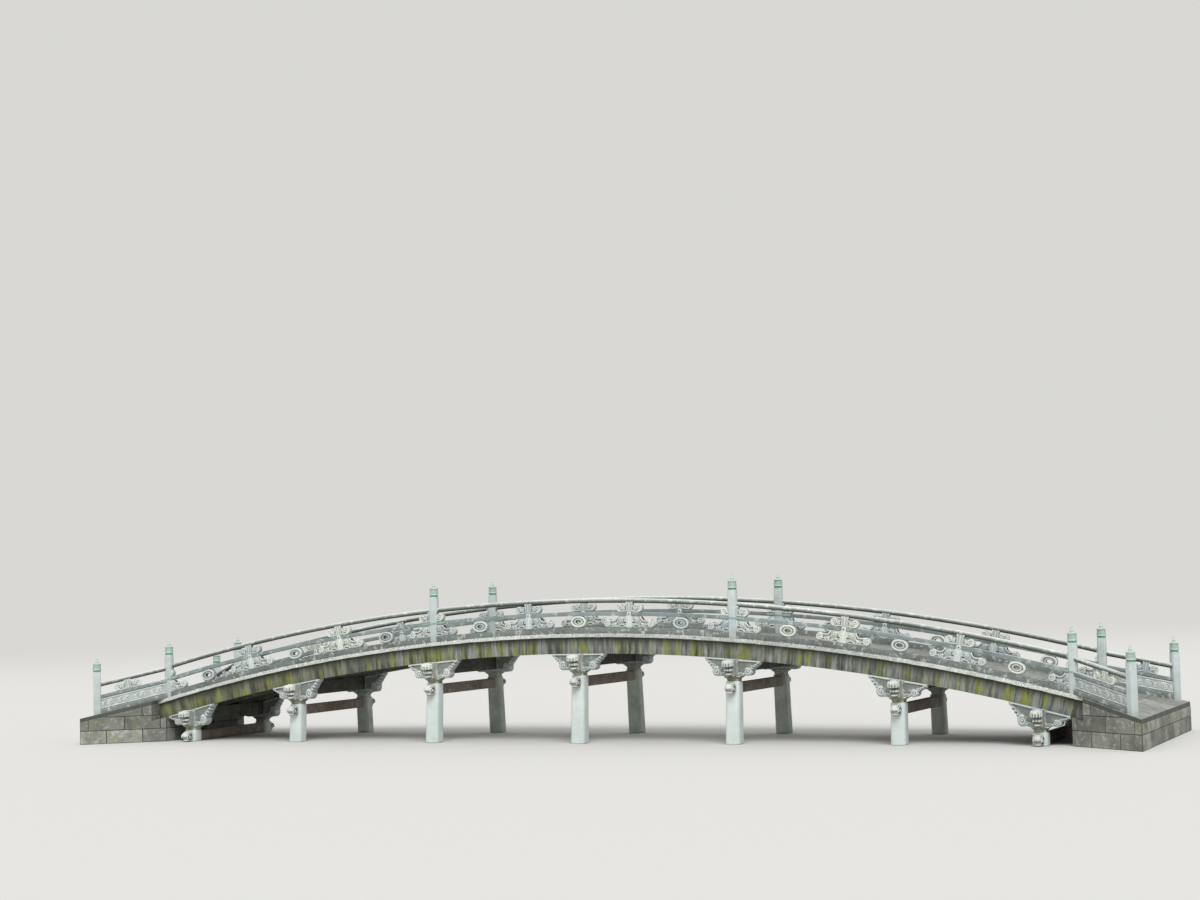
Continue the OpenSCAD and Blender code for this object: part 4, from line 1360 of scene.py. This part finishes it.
def at_corners(obj, name, matrix):
    """Copies of a piece at all four corners of the bridge"""
    corners = [Matrix.Diagonal((x, y, 1, 1)) for x in (-1, 1) for y in (-1, 1)]
    return smooth_shade(copies_at(obj, name, [corner @ matrix for corner in corners]), 50)


def set_wing_clouds(node):
    frame_at, slope = wing_frame()
    tilt = math.atan(slope)
    sunk = (1 - math.cos(tilt)) * ROUND_RAIL_Z
    matrix = frame_at @ Matrix.Translation((WING_L / 2, 0, -WING_L / 2 * slope))
    matrix = matrix @ Matrix.Rotation(tilt, 4, "Y") @ Matrix.Translation((0, 0, -sunk))
    return at_corners(head_stone("cloud_heads_front"), "carved_" + node, matrix)


def set_wing_caps(node):
    frame_at, slope = wing_frame()
    matrix = frame_at @ Matrix.Translation((WING_L, 0, POST_H - WING_L * slope))
    return at_corners(turn_cap(), "turned_" + node, matrix)


def carve_wing_panels(node):
    """Cuts a row of scrolls between two raised rims, upright on the wing's slope"""
    frame_at, slope = wing_frame()
    stone = pick_stone(node, 9.7, 0.76, frame_at)
    carvings = [strand([(0.09, z), (1.32, z)], 0.012) for z in (0.192, 0.362)]
    first, pitch = 0.215, 0.315
    for i in range(4):
        u = first + pitch * i
        carvings.append(scroll(u, 0.268, 0.060, 1.7, -1, 2.2, 1.3))
        carvings.append(scroll(u + 0.135, 0.248, 0.034, 1.3, -1, 2.2, 1.1))
        wave = [(u - 0.05, 0.305), (u + 0.03, 0.338), (u + 0.11, 0.306), (u + 0.19, 0.290)]
        carvings.append(strand(wave, 0.010))
    lean = Matrix.Identity(4)
    lean[2][0] = -slope
    beads = on_both_faces(PANEL_HALF, *carvings, sides=(1,))
    for piece in beads:
        piece.data.transform(lean)
    stone = fuse([stone] + beads, "panel", grid=0.0056, keep=0.2)
    mark_relief(stone, PANEL_HALF)
    return at_corners(stone, "carved_" + node, frame_at)


def course_masonry(node):
    """Cuts the abutments' sides into staggered blocks with sunk joints"""
    obj = take_copy(node, "coursed_" + node)
    open_mesh(obj, "FACE")
    for course in range(1, COURSES):
        bpy.ops.mesh.select_all(action="SELECT")
        bpy.ops.mesh.bisect(plane_co=(0, 0, COURSE_H * course), plane_no=(0, 0, 1))
    most = math.ceil(ABUTMENT_REACH[0] / BLOCK_L) + 1
    for course in range(COURSES):
        for i in range(-most, most):
            place = (i + 0.5 * (course % 2)) * BLOCK_L
            for axis, reach in enumerate(ABUTMENT_REACH):
                if abs(place) < reach:
                    way = Vector((1 - axis, axis, 0))
                    pick_sides(obj, course, axis)
                    bpy.ops.mesh.bisect(plane_co=place * way, plane_no=way)
    pick_sides(obj)
    bpy.ops.mesh.inset(thickness=0.012, depth=0.009, use_individual=True)
    close_mesh()
    mark_blocks(obj, 61)
    return obj


def pick_sides(obj, course=None, axis=None):
    """Selects upright faces, those of one course that run along one axis if asked"""

    def wanted(face):
        n = face.normal
        if abs(n.z) >= 0.3 or course is None:
            return abs(n.z) < 0.3
        runs = (abs(n.x) < abs(n.y)) == (axis == 0)
        return runs and course * COURSE_H < face.center.z < (course + 1) * COURSE_H

    pick_faces(obj, wanted)


class BridgeOperator:
    bl_options = {"REGISTER", "UNDO"}


class BRIDGE_OT_stage(BridgeOperator, bpy.types.Operator):
    """Makes the floor, the soft lights and the camera"""

    bl_idname = "bridge.stage"
    bl_label = "Stage"

    def execute(self, context):
        scene = context.scene
        scene.view_settings.view_transform = "Standard"
        clear_selection()
        bpy.ops.mesh.primitive_circle_add(vertices=96, radius=400, fill_type="NGON")
        floor = context.object
        floor.name = "studio_floor"
        floor.data.materials.append(floor_finish())
        world = bpy.data.worlds.new("studio_world")
        scene.world = world
        world.use_nodes = True
        sky_finish(world.node_tree)
        lamp = bpy.data.lights.new("soft_key", "SUN")
        lamp.energy = KEY
        lamp.angle = math.radians(35)
        key = bpy.data.objects.new("soft_key", lamp)
        scene.collection.objects.link(key)
        key.rotation_euler = Euler((math.radians(42), 0, math.radians(28)))
        lens = bpy.data.cameras.new("photo_view")
        lens.lens = LENS
        lens.sensor_width = SENSOR
        lens.clip_end = 900
        camera = bpy.data.objects.new("photo_view", lens)
        scene.collection.objects.link(camera)
        axes = Matrix((EYE_RIGHT, EYE_RIGHT.cross(EYE_AHEAD), -EYE_AHEAD))
        camera.matrix_world = Matrix.Translation(EYE) @ axes.transposed().to_4x4()
        scene.camera = camera
        return {"FINISHED"}


def sky_finish(tree):
    """Even white light, behind which the backdrop shows in the floor's colour"""
    tree.nodes.clear()
    path = add(tree, "ShaderNodeLightPath").outputs
    rays = {0: path["Is Camera Ray"], 1: path["Is Glossy Ray"]}
    seen = add(tree, "ShaderNodeMath", rays, operation="MAXIMUM").outputs[0]
    light, shown = (
        add(tree, "ShaderNodeBackground", {"Color": paint(tone), "Strength": strength})
        for tone, strength in (("#FFFFFF", SKY), ("floor", 1.0))
    )
    layers = {0: seen, 1: light.outputs[0], 2: shown.outputs[0]}
    both = add(tree, "ShaderNodeMixShader", layers).outputs[0]
    add(tree, "ShaderNodeOutputWorld", {0: both})


def floor_finish():
    """Pale matt floor that keeps its shadow near the bridge and fades far off"""
    material, tree, shader = new_finish("pale_floor")
    shader.inputs["Base Color"].default_value = paint("floor")
    shader.inputs["Roughness"].default_value = 0.95
    shader.inputs["Specular IOR Level"].default_value = 0.1
    place = add(tree, "ShaderNodeTexCoord").outputs["Object"]
    far = add(tree, "ShaderNodeVectorMath", {0: place}, operation="LENGTH").outputs["Value"]
    bounds = {0: far, 1: 22.0, 2: 90.0}
    fade = add(tree, "ShaderNodeMapRange", bounds, interpolation_type="SMOOTHSTEP").outputs[0]
    seen = add(tree, "ShaderNodeLightPath").outputs["Is Camera Ray"]
    fade = add(tree, "ShaderNodeMath", {0: fade, 1: seen}, operation="MULTIPLY").outputs[0]
    glow = add(tree, "ShaderNodeEmission", {"Color": paint("floor"), "Strength": 1.0})
    layers = {0: fade, 1: shader.outputs[0], 2: glow.outputs[0]}
    mixed = add(tree, "ShaderNodeMixShader", layers).outputs[0]
    tree.links.new(mixed, tree.nodes["Material Output"].inputs["Surface"])
    return material


class BRIDGE_OT_columns(BridgeOperator, bpy.types.Operator):
    """Dresses the columns, with shoulders eased at the top"""

    bl_idname = "bridge.columns"
    bl_label = "Columns"

    def execute(self, context):
        rear = both_sides(dress_columns, "columns", "column_granite", 3)
        # The rear columns are greener from damp, and darker as painted shade from the deck and
        # trees
        rear.data.materials[0] = finish("column_shaded")
        return {"FINISHED"}


class BRIDGE_OT_tie_beams(BridgeOperator, bpy.types.Operator):
    """Dresses the tie beams, and carves their noses"""

    bl_idname = "bridge.tie_beams"
    bl_label = "Tie Beams"

    def execute(self, context):
        dressed("tie_beams", "dark_stone", 0.010, 5, look="tie_stone")
        both_sides(set_noses, "tie_noses", "head_stone", 7, carved=True)
        return {"FINISHED"}


class BRIDGE_OT_neck_blocks(BridgeOperator, bpy.types.Operator):
    """Rounds the mossy neck blocks and their dishes"""

    bl_idname = "bridge.neck_blocks"
    bl_label = "Neck Blocks"

    def execute(self, context):
        both_sides(round_necks, "neck_blocks", "mossy_stone", 9, carved=True)
        return {"FINISHED"}


class BRIDGE_OT_brackets(BridgeOperator, bpy.types.Operator):
    """Carves the brackets and the beasts' heads over the columns"""

    bl_idname = "bridge.brackets"
    bl_label = "Brackets"

    def execute(self, context):
        look = "bracket_stone"
        both_sides(carve_brackets, "brackets", "carved_stone", 11, look, carved=True)
        both_sides(set_heads, "beam_heads", "head_stone", 13, carved=True)
        return {"FINISHED"}


class BRIDGE_OT_beams(BridgeOperator, bpy.types.Operator):
    """Dresses the beams under the deck"""

    bl_idname = "bridge.beams"
    bl_label = "Beams"

    def execute(self, context):
        dressed("cap_beams", "dark_stone", 0.008, 15)
        dressed("inner_beams", "dark_stone", 0.008, 17)
        for side, seed in (("front", 19), ("rear", 21)):
            dressed("edge_beam_" + side, "beam_stone", 0.006, seed, step=0.12, waver=0.0015)
        return {"FINISHED"}


class BRIDGE_OT_deck(BridgeOperator, bpy.types.Operator):
    """Dresses the deck slabs, the lips and the landings"""

    bl_idname = "bridge.deck"
    bl_label = "Deck"

    def execute(self, context):
        pave("deck_slabs", (), 23)
        # Two rows of slabs on each landing, with their joints half a slab apart
        pave("landings", ((9.1, 9.75, 0.5), (9.75, ABUTMENT_REACH[0], 0.0)), 62)
        for side, seed in (("front", 27), ("rear", 29)):
            dressed("deck_lip_" + side, "lip_stone", 0.014, seed, step=0.06, waver=0.005)
        return {"FINISHED"}


class BRIDGE_OT_railing(BridgeOperator, bpy.types.Operator):
    """Dresses curbs, posts, rails and copper straps"""

    bl_idname = "bridge.railing"
    bl_label = "Railing"

    def execute(self, context):
        for side, line, seed in (("front", -1, 31), ("rear", 1, 41)):
            dressed("curb_" + side, "curb_stone", 0.012, seed, step=0.10, waver=0.004)
            dressed("posts_" + side, "post_stone", 0.006, seed + 1)
            dressed("round_rail_" + side, "rail_stone", 0.004, seed + 2, look="pole_stone")
            dressed("flat_rail_" + side, "rail_stone", 0.010, seed + 3, extras=studs(line))
            dressed("rail_straps_" + side, "strap_copper", 0.0015, seed + 4)
        return {"FINISHED"}


class BRIDGE_OT_post_caps(BridgeOperator, bpy.types.Operator):
    """Turns the copper caps of the posts"""

    bl_idname = "bridge.post_caps"
    bl_label = "Post Caps"

    def execute(self, context):
        both_sides(set_caps, "post_caps", "cap_copper", 51)
        return {"FINISHED"}


class BRIDGE_OT_clouds(BridgeOperator, bpy.types.Operator):
    """Carves the cloud stones and the ring stones of the railing"""

    bl_idname = "bridge.clouds"
    bl_label = "Cloud Stones"

    def execute(self, context):
        both_sides(carve_feet, "cloud_feet", "carved_stone", 53, carved=True)
        both_sides(carve_heads, "cloud_heads", "carved_stone", 55, carved=True)
        both_sides(carve_rings, "ring_stones", "carved_stone", 57, carved=True)
        return {"FINISHED"}


class BRIDGE_OT_abutments(BridgeOperator, bpy.types.Operator):
    """Cuts the abutments into coursed blocks"""

    bl_idname = "bridge.abutments"
    bl_label = "Abutments"

    def execute(self, context):
        obj = course_masonry("abutments")
        set_piece(obj, "abutments", finish("masonry"), 61)
        return {"FINISHED"}


class BRIDGE_OT_wings(BridgeOperator, bpy.types.Operator):
    """Dresses the splayed wing railings at both ends"""

    bl_idname = "bridge.wings"
    bl_label = "Wings"

    def execute(self, context):
        dressed("wing_curbs", "curb_stone", 0.012, 63)
        dressed("wing_flat_rails", "rail_stone", 0.010, 67)
        dressed("wing_round_rails", "rail_stone", 0.004, 69, look="pole_stone")
        dressed("wing_posts", "post_stone", 0.006, 73)
        for maker, node, slot, seed in (
            (carve_wing_panels, "wing_panels", "panel_stone", 65),
            (set_wing_clouds, "wing_clouds", "carved_stone", 71),
            (set_wing_caps, "wing_caps", "cap_copper", 75),
        ):
            set_piece(maker(node), node, finish(slot), seed, carved=slot != "cap_copper")
        return {"FINISHED"}


class BRIDGE_PT_panel(bpy.types.Panel):
    """Lists the bridge's pieces, sizes and colours"""

    bl_idname = "BRIDGE_PT_panel"
    bl_label = "Garden Bridge"
    bl_space_type = "VIEW_3D"
    bl_region_type = "UI"
    bl_category = "Bridge"

    def draw(self, context):
        layout = self.layout
        for operator in OPERATORS:
            layout.operator(operator.bl_idname)
        for group in (context.scene.bridge_sizes, context.scene.bridge_colours):
            for key in group.__annotations__:
                layout.prop(group, key)


OPERATORS = (
    BRIDGE_OT_stage,
    BRIDGE_OT_columns,
    BRIDGE_OT_tie_beams,
    BRIDGE_OT_neck_blocks,
    BRIDGE_OT_brackets,
    BRIDGE_OT_beams,
    BRIDGE_OT_deck,
    BRIDGE_OT_railing,
    BRIDGE_OT_post_caps,
    BRIDGE_OT_clouds,
    BRIDGE_OT_abutments,
    BRIDGE_OT_wings,
)


def register():
    for cls in (BridgeSizes, BridgeColours, *OPERATORS, BRIDGE_PT_panel):
        bpy.utils.register_class(cls)
    bpy.types.Scene.bridge_sizes = PointerProperty(type=BridgeSizes)
    bpy.types.Scene.bridge_colours = PointerProperty(type=BridgeColours)


def unregister():
    del bpy.types.Scene.bridge_colours
    del bpy.types.Scene.bridge_sizes
    for cls in (BRIDGE_PT_panel, *reversed(OPERATORS), BridgeColours, BridgeSizes):
        bpy.utils.unregister_class(cls)


def main():
    register()
    clear_selection()
    for operator in OPERATORS:
        group, name = operator.bl_idname.split(".")
        getattr(getattr(bpy.ops, group), name)()


if __name__ == "__main__":
    main()
